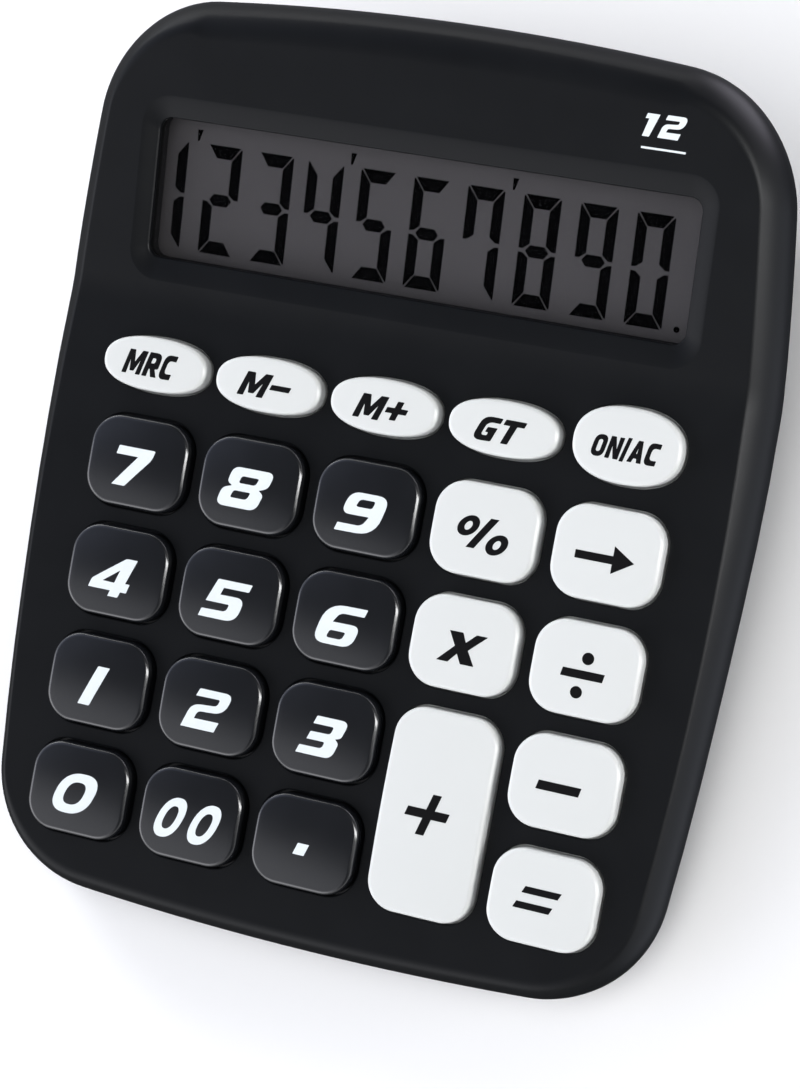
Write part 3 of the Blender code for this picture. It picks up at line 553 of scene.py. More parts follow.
def meeting(a, a_radius, b, b_radius, toward):
    """Of the two points at a_radius from a and b_radius from b, the one further along `toward`."""
    line = b - a
    along = (a_radius**2 - b_radius**2 + line.length_squared) / (2 * line.length)
    across = math.sqrt(a_radius**2 - along**2)
    unit = line.normalized()
    side = Vector((-unit.y, unit.x)) * across
    middle = a + unit * along
    return max(middle + side, middle - side, key=lambda point: point.dot(toward))


def direction(start, end):
    return math.atan2(end.y - start.y, end.x - start.x)


FRONT_STEPS, CORNER_STEPS, SIDE_STEPS, FOLD_STEPS, REAR_STEPS = 16, 22, 8, 8, 16
FOLD_START = FRONT_STEPS + CORNER_STEPS + SIDE_STEPS


def half_outline(barrel):
    """(point, outward normal) from the middle of the front edge, round +X, to the rear's middle."""
    side = Vector((barrel.half_width - barrel.side_radius, barrel.waist_y))
    front = Vector((0, barrel.front_y + barrel.front_radius))
    rear = Vector((0, barrel.rear_y - barrel.rear_radius))
    front_corner = meeting(
        front, barrel.front_radius - barrel.front_corner,
        side, barrel.side_radius - barrel.front_corner, Vector((1, -1)),
    )
    rear_corner = meeting(
        rear, barrel.rear_radius - barrel.rear_corner,
        side, barrel.side_radius - barrel.rear_corner, Vector((1, 1)),
    )
    fold_start, fold_end = [
        math.asin((y - barrel.waist_y) / barrel.side_radius)
        for y in (FOLD_Y - FOLD_TANGENT, FOLD_Y + FOLD_TANGENT * math.cos(DISPLAY_TILT))
    ]
    front_to_side = direction(front, front_corner), direction(side, front_corner)
    side_to_rear = direction(side, rear_corner), direction(rear, rear_corner)
    arcs = [
        (front, barrel.front_radius, -math.pi / 2, front_to_side[0], FRONT_STEPS),
        (front_corner, barrel.front_corner, *front_to_side, CORNER_STEPS),
        (side, barrel.side_radius, front_to_side[1], fold_start, SIDE_STEPS),
        (side, barrel.side_radius, fold_start, fold_end, FOLD_STEPS),
        (side, barrel.side_radius, fold_end, side_to_rear[0], SIDE_STEPS),
        (rear_corner, barrel.rear_corner, *side_to_rear, CORNER_STEPS),
        (rear, barrel.rear_radius, side_to_rear[1], math.pi / 2, REAR_STEPS),
    ]
    found = []
    for centre, radius, start, end, steps in arcs:
        for step in range(steps):
            angle = start + (end - start) * step / steps
            normal = Vector((math.cos(angle), math.sin(angle)))
            found.append((centre + radius * normal, normal))
    found.append((Vector((0, barrel.rear_y)), Vector((0, 1))))
    return found


OUTLINE = half_outline(FACE)
MIRROR_OF_END = 2 * len(OUTLINE) - 2
FOLDS = [(i, MIRROR_OF_END - i) for i in range(FOLD_START, FOLD_START + FOLD_STEPS + 1)]


def face_z(y):
    """Height of the upper faces in the deck's frame, with a soft fold between them."""
    start = FOLD_Y - FOLD_TANGENT
    if y <= start:
        return 0.0
    if y >= FOLD_Y + FOLD_TANGENT * math.cos(DISPLAY_TILT):
        return (y - FOLD_Y) * math.tan(DISPLAY_TILT)
    return FOLD_RADIUS - math.sqrt(FOLD_RADIUS**2 - (y - start) ** 2)


def wall_depth(y):
    share = (y - FACE.front_y) / (FACE.rear_y - FACE.front_y)
    return FRONT_WALL + (REAR_WALL - FRONT_WALL) * share


def lean(point, normal):
    """How far out the wall leans by the seam: more beside the display, and most along the rear."""
    side = LEAN_FRONT + (LEAN_DISPLAY - LEAN_FRONT) * smoothstep(0.0, LEAN_GROWS_BY_Y, point.y)
    return side + (LEAN_REAR - side) * max(0.0, normal.y) ** 3


def desk_plane_z(y, height):
    """z in the deck's frame of the level plane at `height` above the desk."""
    return (height - FACE_HEIGHT - y * math.sin(KEYPAD_TILT)) / math.cos(KEYPAD_TILT)


def case_ring(profile):
    """A ring round the case. Its profile gives how far out it lies, and its z for each y."""
    half = []
    for point, normal in OUTLINE:
        outward, height = profile(point, normal)
        moved = point + normal * outward
        half.append(Vector((moved.x, moved.y, height(moved.y))))
    return half + [Vector((-point.x, point.y, point.z)) for point in half[-2:0:-1]]


def below_face(outward, depth):
    """A profile with the given distance outward and depth below the face."""
    return lambda point, normal: (outward, lambda y: face_z(y) - depth)


def at_seam(inward, below):
    """A profile `inward` of the wall's foot and `below` the seam between the covers."""
    return lambda point, normal: (
        lean(point, normal) - inward,
        lambda y: face_z(y) - wall_depth(point.y) - below,
    )


def crease(normal):
    """How softly the face turns into the wall: crisp at the sides, softest mid-rear."""
    end = smoothstep(0.15, 0.75, abs(normal.y))
    middle = 1 - smoothstep(0.0, 0.25, abs(normal.x)) if normal.y > 0 else 0.0
    size = CREASE_SIDE + (CREASE_CORNER - CREASE_SIDE) * end
    return size + (CREASE_REAR - CREASE_CORNER) * middle


def wall_out(point, normal, depth):
    """How far outward the bowed wall is at a depth below the face."""
    return lean(point, normal) * (1 - (1 - depth / wall_depth(point.y)) ** WALL_POWER)


def crease_profile(t):
    def profile(point, normal):
        size = crease(normal)
        end = size * CREASE_DROP
        outward, depth = bezier((-size, 0.0), (0.0, 0.0), (wall_out(point, normal, end), end), t)
        return outward, lambda y: face_z(y) - depth

    return profile


def wall_profile(t):
    def profile(point, normal):
        start = crease(normal) * CREASE_DROP
        depth = start + (wall_depth(point.y) - SEAM_ROUND - start) * t**WALL_CROWDING
        return wall_out(point, normal, depth), lambda y: face_z(y) - depth

    return profile


def half_way(inward):
    """A profile halfway down the wall, `inward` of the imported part's wall there."""
    return lambda point, normal: (
        lean(point, normal) * SWELL_SHARE - inward,
        lambda y: face_z(y) - wall_depth(point.y) / 2,
    )


def top_cover_shell():
    profiles = [crease_profile(step / CREASE_STEPS) for step in range(CREASE_STEPS + 1)]
    profiles += [wall_profile(step / WALL_STEPS) for step in range(1, WALL_STEPS + 1)]
    profiles += [at_seam(inward, -above) for inward, above in quarter_turn(SEAM_ROUND, 3)[1:]]
    profiles += [at_seam(LIP, 0.0), at_seam(LIP, -LIP_HEIGHT), at_seam(WALL, -LIP_HEIGHT)]
    profiles += [half_way(WALL * SWELL_WALL), below_face(-WALL, WALL)]
    return add_loft(bmesh.new(), map(case_ring, profiles), FOLDS)


# ---------------------------------------------------------------- keys

Key = namedtuple("Key", "name centre size shape slot")


def grid_key(name, column, row, slot, rows=1):
    x = (column - 2) * COLUMN
    y = (row - 1.5 + (rows - 1) / 2) * ROW
    return Key("key_" + name, (x, y), (CAP_X, CAP_Y + (rows - 1) * ROW), "square", slot)


def all_keys():
    keys = []
    digits = (("0", "00", "point"), ("1", "2", "3"), ("4", "5", "6"), ("7", "8", "9"))
    for row, names in enumerate(digits):
        keys += [grid_key(name, column, row, "key_black") for column, name in enumerate(names)]
    keys.append(grid_key("plus", 3, 0, "key_white", rows=2))
    whites = (("times", 3, 2), ("percent", 3, 3), ("equals", 4, 0), ("minus", 4, 1),
              ("divide", 4, 2), ("back", 4, 3))
    keys += [grid_key(*white, "key_white") for white in whites]
    ovals = [(name, OVAL_Y, OVAL_SIZE)
             for name in ("memory_recall", "memory_minus", "memory_plus", "grand_total")]
    for column, (name, y, size) in enumerate(ovals + [("on_clear", BIG_OVAL_Y, BIG_OVAL_SIZE)]):
        keys.append(Key("key_" + name, ((column - 2) * COLUMN, y), size, "oval", "key_white"))
    return keys


KEYS = all_keys()


def key_outline(key, grow):
    half_x, half_y = key.size[0] / 2 + grow, key.size[1] / 2 + grow
    if key.shape == "oval":
        return superellipse(half_x, half_y, OVAL_POINTS)
    return rounded_rectangle(half_x, half_y, CAP_CORNER + grow, CORNER_PARTS, SIDE_PARTS)


def crown(key, x, y):
    """Height of a cap's gently crowned top."""
    half_x, half_y = key.size[0] / 2, key.size[1] / 2
    sag_x, sag_y = CROWN_X, CROWN_Y * min(1.0, half_y / (CAP_Y / 2)) ** 2
    if half_y > CAP_Y:
        sag_y *= 1.6
    return CAP_TOP - sag_x * (x / half_x) ** 2 - sag_y * (y / half_y) ** 2


def key_mesh(key):
    flange = OVAL_FLANGE if key.shape == "oval" else FLANGE
    flange_top = -WALL - GAP
    flange_bottom = flange_top - FLANGE_THICK
    roof = CAP_TOP - CAP_ROOF
    edge = key_outline(key, -CAP_FILLET)
    rings = []
    for step in range(1, CROWN_STEPS + 1):
        share = (step / CROWN_STEPS) ** CROWN_CROWDING
        spread = [(p.x * share, p.y * share) for p in edge]
        rings.append([(x, y, crown(key, x, y)) for x, y in spread])
    for drop, inward in quarter_turn(CAP_FILLET, FILLET_STEPS)[1:]:
        outer = key_outline(key, -inward)
        rings.append([(p.x, p.y, crown(key, q.x, q.y) - drop) for p, q in zip(outer, edge)])
    outside = [(0, flange_top), (flange, flange_top), (flange, flange_bottom)]
    outside += [(-CAP_SKIN, flange_bottom), (-CAP_SKIN, roof)]
    rings += [at_height(key_outline(key, grow), z) for grow, z in outside]
    post = [point.normalized() * POST_RADIUS for point in key_outline(key, -CAP_SKIN)]
    rings += [at_height(post, roof), at_height(post, POST_END)]
    return mesh_from(key.name, add_loft(bmesh.new(), rings), 40)


# ---------------------------------------------------------------- legends

# Outlines are lists of (x, y, corner radius), in hundredths: of a millimetre from a cap's middle
# in DIGITS and SIGNS, and of the letter's height in LETTERS. A point may leave its radius out, and
# then takes the one named below. In digits and letters, the loops after the first are holes.
DIGIT_CORNER = 15
SIGN_CORNER = 10
LETTER_CORNER = 3
DIGITS = {
    "1": [[(-20, 315), (240, 315), (-85, -510), (-345, -510)]],
    "2": [[(-550, -500), (210, -500), (295, -270), (-250, -275, 10), (-200, -140, 70),
          (360, -110, 240), (520, 340, 170), (-245, 340, 20), (-320, 160), (220, 165, 45),
          (175, 45, 60), (-370, 5, 160)]],
    "3": [[(-185, 315), (530, 315, 150), (400, -60, 110), (295, -90, 10), (370, -160, 70),
          (260, -500, 260), (-530, -500), (-460, -315), (15, -310, 60), (55, -195, 40),
          (-340, -195, 12), (-270, -10, 12), (150, -5, 60), (195, 130, 40), (-250, 130, 12)]],
    "4": [[(440, 325), (180, 325, 40), (-520, -190, 40), (-585, -390), (-85, -390, 5),
          (-125, -510, 12), (120, -510, 25), (165, -390, 5), (295, -390), (355, -180),
          (255, -180, 5)], [(75, 45, 10), (-250, -200, 10), (-10, -200, 10)]],
    "5": [[(-280, 315, 20), (490, 315, 20), (430, 135), (-115, 135), (-160, 10, 10),
          (380, 15, 170), (250, -505, 300), (-600, -505), (-540, -320), (-10, -310, 70),
          (40, -180, 40), (-485, -180, 12)]],
    "6": [[(485, 300, 20), (425, 120), (-90, 120, 160), (-200, -55, 10), (390, -50, 160),
          (250, -530, 300), (-610, -530, 220), (-410, 290, 440)], [(-250, -245, 50),
          (75, -245, 50), (10, -380, 60), (-295, -380, 50)]],
    "7": [[(-430, 315), (400, 315, 30), (350, 110, 90), (-170, -510, 20), (-490, -510),
          (10, 115, 10), (-475, 115)]],
    "8": [[(-375, -60, 10), (-470, 0, 80), (-390, 335, 230), (540, 335, 190), (435, -10, 150),
          (260, -75, 10), (360, -150, 80), (240, -500, 260), (-670, -500, 180), (-560, -120, 160)],
          [(-160, 145, 50), (195, 145, 40), (140, 20, 50), (-200, 20, 40)], [(-290, -160, 50),
          (60, -160, 40), (0, -290, 60), (-340, -290, 40)]],
}
DIGITS["9"] = [[(-90 - x, -235 - y, *corner) for x, y, *corner in outline]
               for outline in DIGITS["6"]]
SIGNS = {
    "point": [[(-100, 5), (140, 5), (60, -230), (-180, -230)]],
    "minus": [[(-490, 25), (380, 25), (340, -155), (-530, -155)]],
    "equals": [[(-360, 210), (380, 210), (320, 75), (-420, 75)], [(-490, -100), (250, -100),
               (190, -235), (-550, -235)]],
    "plus": [[(-490, 95), (-110, 95, 3), (-20, 410), (160, 410), (70, 95, 3), (380, 95),
             (330, -85), (20, -85, 3), (-75, -420), (-255, -420), (-160, -85, 3), (-540, -85)]],
    "times": [[(-300, 245), (-20, 245), (65, 60, 5), (260, 245), (490, 245), (135, -85, 5),
              (300, -370), (20, -370), (-75, -180, 5), (-240, -370), (-480, -370),
              (-145, -35, 5)]],
    "divide": [[(-430, 0), (420, 0), (390, -165), (-460, -165)]],
    "back": [[(-610, 10), (150, 10, 3), (150, 205), (580, -65), (150, -335), (150, -150, 3),
             (-610, -150)]],
    "percent": [[(-305, -360, 5), (-135, -360, 5), (285, 270, 5), (115, 270, 5)]],
}
# Each sign's slant, roundness and points, then its rings: x, y and half sizes in hundredths of a mm
RINGS = {
    "0": ((0.36, 2.5, 48), (-35, -75, 425, 425), (-45, -75, 205, 240)),
    "00": ((0.36, 2.3, 48), (-385, -95, 275, 425), (-385, -95, 125, 245), (365, -95, 275, 425),
           (365, -95, 125, 245)),
    "percent": ((0.36, 2.0, 28), (-315, 60, 210, 210), (-315, 60, 72, 92), (320, -220, 210, 210),
                (320, -220, 72, 92)),
    "divide": ((0.0, 2.0, 28), (35, 240, 120, 120), (-85, -435, 120, 120)),
}
LETTERS = {
    "M": [[(0, 0), (0, 100), (27, 100), (50, 44), (73, 100), (100, 100), (100, 0), (79, 0),
          (79, 62), (59, 13), (41, 13), (21, 62), (21, 0)]],
    "R": [[(0, 0), (0, 100), (70, 100, 30), (72, 36, 28), (51, 35), (75, 0), (50, 0), (31, 34),
          (21, 34), (21, 0)], [(21, 82), (48, 82, 12), (48, 53, 12), (21, 53)]],
    "C": [[(62, 100, 4), (0, 102, 42), (0, -2, 42), (62, 0, 4), (62, 19), (20, 17, 22),
          (20, 83, 22), (62, 81)]],
    "G": [[(68, 100, 4), (0, 102, 42), (0, -2, 42), (68, 0, 6), (68, 55), (36, 55), (36, 38),
          (48, 38), (48, 18), (20, 17, 22), (20, 83, 22), (68, 82)]],
    "T": [[(0, 100), (74, 100), (74, 81), (47.5, 81), (47.5, 0), (26.5, 0), (26.5, 81), (0, 81)]],
    "O": [[(0, 0, 40), (70, 0, 40), (70, 100, 40), (0, 100, 40)], [(20, 18, 20), (50, 18, 20),
          (50, 82, 20), (20, 82, 20)]],
    "N": [[(0, 0), (0, 100), (23, 100), (50, 40), (50, 100), (70, 100), (70, 0), (47, 0), (20, 60),
          (20, 0)]],
    "A": [[(0, 0), (26, 100), (48, 100), (74, 0), (53, 0), (48, 20), (26, 20), (21, 0)], [(30, 37),
          (44, 37), (37, 70)]],
    "/": [[(-2, -5), (15, -5), (24, 105), (7, 105)]],
    "-": [[(0, 41), (74, 41), (74, 59), (0, 59)]],
    "+": [[(0, 41), (30, 41), (30, 11), (50, 11), (50, 41), (80, 41), (80, 59), (50, 59), (50, 89),
          (30, 89), (30, 59), (0, 59)]],
}
# Word, width, height and middle of a key's legend, in millimetres
WORDS = {
    "memory_recall": ("MRC", 11.9, 4.7, (-0.85, -0.15)),
    "memory_minus": ("M-", 11.4, 4.6, (-0.4, -0.3)),
    "memory_plus": ("M+", 11.4, 4.6, (-0.35, -0.45)),
    "grand_total": ("GT", 10.3, 4.5, (-0.35, -0.55)),
    "on_clear": ("ON/AC", 13.7, 4.1, (0.1, -0.75)),
}
DIGIT_TRIM = 0.11
LETTER_GAP = 0.17
LETTER_BOLD = 0.030
LETTER_SLANT = 0.3
LETTER_ASPECT = 2.6
CURVE_PULL = 1.15
CURVE_LIMIT = 0.49
SHORTEST_CURVE = 0.02
SHARPEST_TURN = 0.35
CURVE_STEPS = 6
INK_GRID = 0.0012


def in_full(outlines, corner):
    """Outlines in whole units, each point with its corner radius."""
    return [[(x / 100, y / 100, (radius[0] if radius else corner) / 100)
             for x, y, *radius in outline]
            for outline in outlines]


def grown(loop, amount):
    """A closed loop of (x, y, corner radius) with each straight side moved outward by `amount`."""
    if not amount:
        return loop
    area = sum(a[0] * b[1] - b[0] * a[1] for a, b in zip(loop, loop[1:] + loop[:1]))
    side = math.copysign(1.0, area)
    found = []
    for i, (x, y, radius) in enumerate(loop):
        back = (Vector((x, y)) - Vector(loop[i - 1][:2])).normalized()
        ahead = (Vector(loop[(i + 1) % len(loop)][:2]) - Vector((x, y))).normalized()
        out = Vector((back.y + ahead.y, -back.x - ahead.x)) * side
        out *= amount / max(SHARPEST_TURN, 1 + back.dot(ahead))
        found.append((x + out.x, y + out.y, radius))
    return found


def round_corners(loop, grow=0.0):
    """A closed loop of (x, y, corner radius) as points, each corner turned by a curve."""
    loop = grown(loop, grow)
    found = []
    for i, (x, y, radius) in enumerate(loop):
        here = Vector((x, y))
        back = Vector(loop[i - 1][:2]) - here
        ahead = Vector(loop[(i + 1) % len(loop)][:2]) - here
        reach = min(radius * CURVE_PULL, back.length * CURVE_LIMIT, ahead.length * CURVE_LIMIT)
        if reach < SHORTEST_CURVE:
            found.append(here)
            continue
        a, c = here + back.normalized() * reach, here + ahead.normalized() * reach
        found += [Vector(bezier(a, here, c, step / CURVE_STEPS)) for step in range(CURVE_STEPS + 1)]
    return found


def slanted_ring(centre, half, slant, power, count):
    points = superellipse(*half, count, power)
    return [Vector((centre[0] + p.x + slant * p.y, centre[1] + p.y)) for p in points]


def glyph_loops(name):
    """Closed loops in millimetres about the middle of a cap."""
    if name in DIGITS:
        outlines = in_full(DIGITS[name], DIGIT_CORNER)
    else:
        outlines = in_full(SIGNS.get(name, ()), SIGN_CORNER)
    trim = DIGIT_TRIM if name in "23456789" else 0.0
    loops = [round_corners(outline, trim if number else -trim)
             for number, outline in enumerate(outlines)]
    if name in RINGS:
        shape, *rings = RINGS[name]
        for x, y, half_x, half_y in rings:
            loops.append(slanted_ring((x / 100, y / 100), (half_x / 100, half_y / 100), *shape))
    return loops


def word_loops(word, width, height, centre):
    """Plain capitals as closed loops in millimetres, set out to the given size."""
    loops, cursor = [], 0.0
    for letter in word:
        outlines = in_full(LETTERS[letter], LETTER_CORNER)
        for number, outline in enumerate(outlines):
            points = round_corners(outline, -LETTER_BOLD if number else LETTER_BOLD)
            loops.append([
                Vector((p.x + cursor + LETTER_SLANT * p.y * height / width * LETTER_ASPECT, p.y))
                for p in points
            ])
        cursor += max(point[0] for point in outlines[0]) + LETTER_GAP
    xs = [p.x for loop in loops for p in loop]
    scale = width / (max(xs) - min(xs))
    middle = (max(xs) + min(xs)) / 2
    return [[Vector(((p.x - middle) * scale + centre[0], (p.y - 0.5) * height + centre[1]))
             for p in loop] for loop in loops]


def flat_mesh(name, loops):
    """A flat filled mesh of loops in millimetres: loops inside others are holes."""
    curve = bpy.data.curves.new(name, "CURVE")
    curve.dimensions = "2D"
    curve.fill_mode = "BOTH"
    for loop in loops:
        spline = curve.splines.new("POLY")
        spline.points.add(len(loop) - 1)
        spline.use_cyclic_u = True
        for target, point in zip(spline.points, loop):
            target.co = (point[0], point[1], 0.0, 1.0)
    obj = place(name + "_curve", curve, Matrix.Identity(4))
    bpy.context.view_layer.update()
    mesh = bpy.data.meshes.new_from_object(obj.evaluated_get(bpy.context.evaluated_depsgraph_get()))
    bpy.data.objects.remove(obj)
    bpy.data.curves.remove(curve)
    mesh.transform(Matrix.Diagonal((0.001, 0.001, 0.001, 1.0)))
    return mesh


def lay_ink(name, flat, height, thick=INK, grid=0.0):
    """The flat mesh laid over a surface and given a little body, half of it sunk in.

    Over a curved surface it is first cut along a grid, so that it can bend.
    """
    bm = bmesh.new()
    bm.from_mesh(flat)
    bpy.data.meshes.remove(flat)
    bmesh.ops.remove_doubles(bm, verts=bm.verts, dist=1e-7)
    for axis in (0, 1) if grid else ():
        values = [v.co[axis] for v in bm.verts]
        for step in range(math.floor(min(values) / grid) + 1, math.ceil(max(values) / grid)):
            origin, normal = [0, 0, 0], [0, 0, 0]
            origin[axis], normal[axis] = step * grid, 1
            parts = [*bm.verts, *bm.edges, *bm.faces]
            bmesh.ops.bisect_plane(bm, geom=parts, plane_co=origin, plane_no=normal, dist=1e-8)
    made = bmesh.ops.extrude_face_region(bm, geom=list(bm.faces))
    upper = {v for v in made["geom"] if isinstance(v, bmesh.types.BMVert)}
    for v in bm.verts:
        v.co.z = height(v.co.x, v.co.y) + (thick / 2 if v in upper else -thick / 2)
    return mesh_from(name, bm, 30)


def add_key(key):
    """A key's cap and its legend, both on the key's body."""
    matrix = DECK @ Matrix.Translation((*key.centre, 0))
    body = key.name + "_cap"
    name = key.name[4:]
    piece("cap_" + name, key_mesh(key), matrix, body, key.slot, replaces=(key.name,), weigh=False)
    loops = word_loops(*WORDS[name]) if name in WORDS else glyph_loops(name)
    mesh = lay_ink("legend_" + name, flat_mesh(name, loops), lambda x, y: crown(key, x, y),
                   grid=INK_GRID)
    finish = "ink_white" if key.slot == "key_black" else "ink_black"
    piece("legend_" + name, mesh, matrix, body, key.slot, finish=finish, weigh=False)


# ---------------------------------------------------------------- top cover cutters


def window_outline(spread_x, spread_y, corner, steps):
    half_y = (WINDOW_HIGH - WINDOW_LOW) / 2
    points = rounded_rectangle(WINDOW_X + spread_x, half_y + spread_y, corner, steps)
    return [point + Vector((0, (WINDOW_LOW + WINDOW_HIGH) / 2)) for point in points]


def window_cutter():
    """The sloping surround, which eases out of the face, and the opening with its small lip."""
    stages = [(0.0, 0.0, -2 * WALL)]
    stages += [(out, out, -BEVEL_DEPTH - down) for out, down in quarter_turn(WINDOW_LIP, RIM_STEPS)]
    full_x, full_y = [bevel + WINDOW_EASE - WINDOW_LIP for bevel in (BEVEL_SIDE, BEVEL_END)]
    for step in range(1, BEVEL_STEPS + 1):
        share = step / BEVEL_STEPS
        reach, depth = bezier((0.0, -BEVEL_DEPTH), BEVEL_PULL, (1.0, 0.0), share)
        stages.append((WINDOW_LIP + full_x * reach, WINDOW_LIP + full_y * reach, depth))
    stages.append((*stages[-1][:2], CUT_ABOVE))
    rings = [at_height(window_outline(x, y, WINDOW_CORNER + x, CORNER_PARTS), z)
             for x, y, z in stages]
    return add_loft(bmesh.new(), rings)


def key_hole_cutter():
    """A hole for each key with a rounded rim."""
    bm = bmesh.new()
    for key in KEYS:
        stages = [(KEY_CLEARANCE, -2 * WALL)]
        stages += [(KEY_CLEARANCE + out, -down) for out, down in quarter_turn(RIM, RIM_STEPS)]
        stages.append((stages[-1][0], CUT_ABOVE))
        centre = Vector(key.centre)
        add_loft(bm, [at_height([p + centre for p in key_outline(key, grow)], z)
                      for grow, z in stages])
    return bm


def post_set(spots, radius, bottom, top, sides):
    """Upright posts. Their top is a height, or a function of the spot."""
    bm = bmesh.new()
    for spot in spots:
        high = top(spot) if callable(top) else top
        add_turned(bm, [(radius, bottom), (radius, high)], sides, spot)
    return bm


def ceiling_height(spot):
    """Height in the desk's frame of the middle of the upper walls."""
    fold = FOLD_Y * math.cos(KEYPAD_TILT)
    rise = min(spot[1], fold) * math.tan(KEYPAD_TILT)
    rise += max(0.0, spot[1] - fold) * math.tan(KEYPAD_TILT + DISPLAY_TILT)
    return FACE_HEIGHT + rise - WALL / 2


def top_cover():
    deck_bottom = BOARD_TOP + GAP
    screen_bottom = LOGIC_BOARD_TOP + GAP
    posts = (
        (BOARD_POSTS, BOARD_POST_RADIUS, deck_bottom, -WALL / 2, DECK),
        (SCREEN_POSTS, BOARD_POST_RADIUS, screen_bottom, -WALL / 2, SCREEN),
        (CASE_SCREWS, CASE_POST_RADIUS, SPLIT_HEIGHT + GAP, ceiling_height, DESK),
    )
    bores = (
        (BOARD_POSTS, SMALL_HOLE_RADIUS, deck_bottom - GAP, deck_bottom + SMALL_POST_BITE, DECK),
        (SCREEN_POSTS, SMALL_HOLE_RADIUS, screen_bottom - GAP, screen_bottom + SMALL_POST_BITE,
         SCREEN),
        (CASE_SCREWS, CASE_HOLE_RADIUS, SPLIT_HEIGHT, CASE_SCREW_REACH + GAP, DESK),
    )
    steps = [("UNION", post_set(*row[:4], 24), row[4]) for row in posts]
    steps += [("DIFFERENCE", key_hole_cutter(), DECK), ("DIFFERENCE", window_cutter(), SCREEN)]
    steps += [("DIFFERENCE", post_set(*row[:4], 16), row[4]) for row in bores]
    mesh = carve("case_top", top_cover_shell(), DECK, steps, sharp=34)
    piece("case_top", mesh, DECK, "case", "case_black", replaces=("top_cover",))


# ---------------------------------------------------------------- bottom cover and door


def tuck_height(y):
    return face_z(y) - wall_depth(y) - desk_plane_z(y, FOOT_STAND)


def under(share, inward, lift=0.0):
    """A profile on the underside's slope: share 0 is at the seam and 1 at the base."""

    def profile(point, normal):
        foot = lean(point, normal)
        tucked = tuck_height(point.y) * TUCK + foot - LEAN_FRONT
        outward = foot - SHADOW - inward - tucked * share**TUCK_CURVE

        def height(y):
            seam = face_z(y) - wall_depth(point.y)
            return seam + (desk_plane_z(y, FOOT_STAND + lift) - seam) * share

        return outward, height

    return profile


def bottom_cover_shell():
    profiles = [under(1.0, inward, lift) for lift, inward in quarter_turn(BASE_EDGE, 5)]
    profiles += [under(share, 0.0) for share in (0.85, 0.7, 0.55, 0.4, 0.25, 0.1)]
    profiles += [
        at_seam(SHADOW, SHADOW), at_seam(LIP + GAP, SHADOW), at_seam(LIP + GAP, GAP - LIP_HEIGHT),
        at_seam(WALL, GAP - LIP_HEIGHT), at_seam(SHADOW + WALL, SHADOW), under(0.4, WALL),
        under(1.0, WALL + BASE_EDGE, FLOOR),
    ]
    return add_loft(bmesh.new(), map(case_ring, profiles), FOLDS)


def battery_house():
    low = FOOT_STAND + FLOOR / 2
    section = [(HOUSE_FRONT, low), (STEP_REAR, low), (STEP_REAR, STEP_TOP), (HOUSE_REAR, STEP_TOP)]
    section += [(HOUSE_REAR, HOUSE_TOP), (HOUSE_FRONT, HOUSE_TOP)]
    return add_prism(bmesh.new(), section, 0, -HOUSE_X, HOUSE_X)


def screw_sinks():
    bm = bmesh.new()
    for spot in CASE_SCREWS:
        profile = [
            (SINK_RADIUS + FLARE, -GAP), (SINK_RADIUS + FLARE, FOOT_STAND),
            (SINK_RADIUS + FLARE * 0.3, FOOT_STAND + FLARE * 0.3),
            (SINK_RADIUS, FOOT_STAND + FLARE), (SINK_RADIUS, SINK_TOP),
            (CASE_HOLE_RADIUS, SINK_TOP), (CASE_HOLE_RADIUS, SPLIT_HEIGHT + GAP),
        ]
        add_turned(bm, profile, 48, spot)
    return bm


def foot_sinks():
    bm = bmesh.new()
    radius = FOOT_RADIUS + GAP
    for spot in FEET.values():
        profile = [(radius + EDGE, -GAP), (radius + EDGE, FOOT_STAND), (radius, FOOT_STAND + EDGE)]
        profile.append((radius, FOOT_STAND + FOOT_SINK + GAP))
        add_turned(bm, profile, 64, spot)
    return bm


def battery_pocket():
    low = (POCKET_LEFT, CELL_Y - POCKET_HALF_Y, 0)
    return add_box(bmesh.new(), low, (POCKET_RIGHT, CELL_Y + POCKET_HALF_Y, POCKET_TOP))


def door_channel():
    top = FOOT_STAND + DOOR_THICK + GAP
    step = top - TONGUE_THICK - 2 * GAP
    wide = DOOR_X + DOOR_TONGUE + GAP
    narrow = DOOR_X + GAP
    section = mirrored([(-narrow, 0), (-narrow, step), (-wide, step), (-wide, top)])
    return add_prism(bmesh.new(), section, 1, DOOR_FRONT - GAP, FACE.rear_y)


def tab_slots():
    """Slots in the house's roof for the tabs of the two contact plates."""
    bm = bmesh.new()
    half = TAB_HALF + GAP
    for low, high in ((POCKET_LEFT, POCKET_LEFT + SLOT), (POCKET_RIGHT - SLOT, POCKET_RIGHT)):
        corner = (low, CELL_Y - half, POCKET_TOP - SLOT)
        add_box(bm, corner, (high, CELL_Y + half, HOUSE_TOP + SLOT))
    return bm


def bottom_cover():
    bosses = post_set(CASE_SCREWS, BOSS_RADIUS, FOOT_STAND + FLOOR / 2, SPLIT_HEIGHT, 32)
    steps = [("UNION", added, DESK) for added in (bosses, battery_house())]
    steps += [("DIFFERENCE", cutter(), DESK)
              for cutter in (battery_pocket, door_channel, tab_slots, screw_sinks, foot_sinks)]
    mesh = carve("case_bottom", bottom_cover_shell(), DECK, steps, sharp=34)
    piece("case_bottom", mesh, DECK, "case", "case_black", replaces=("bottom_cover",))


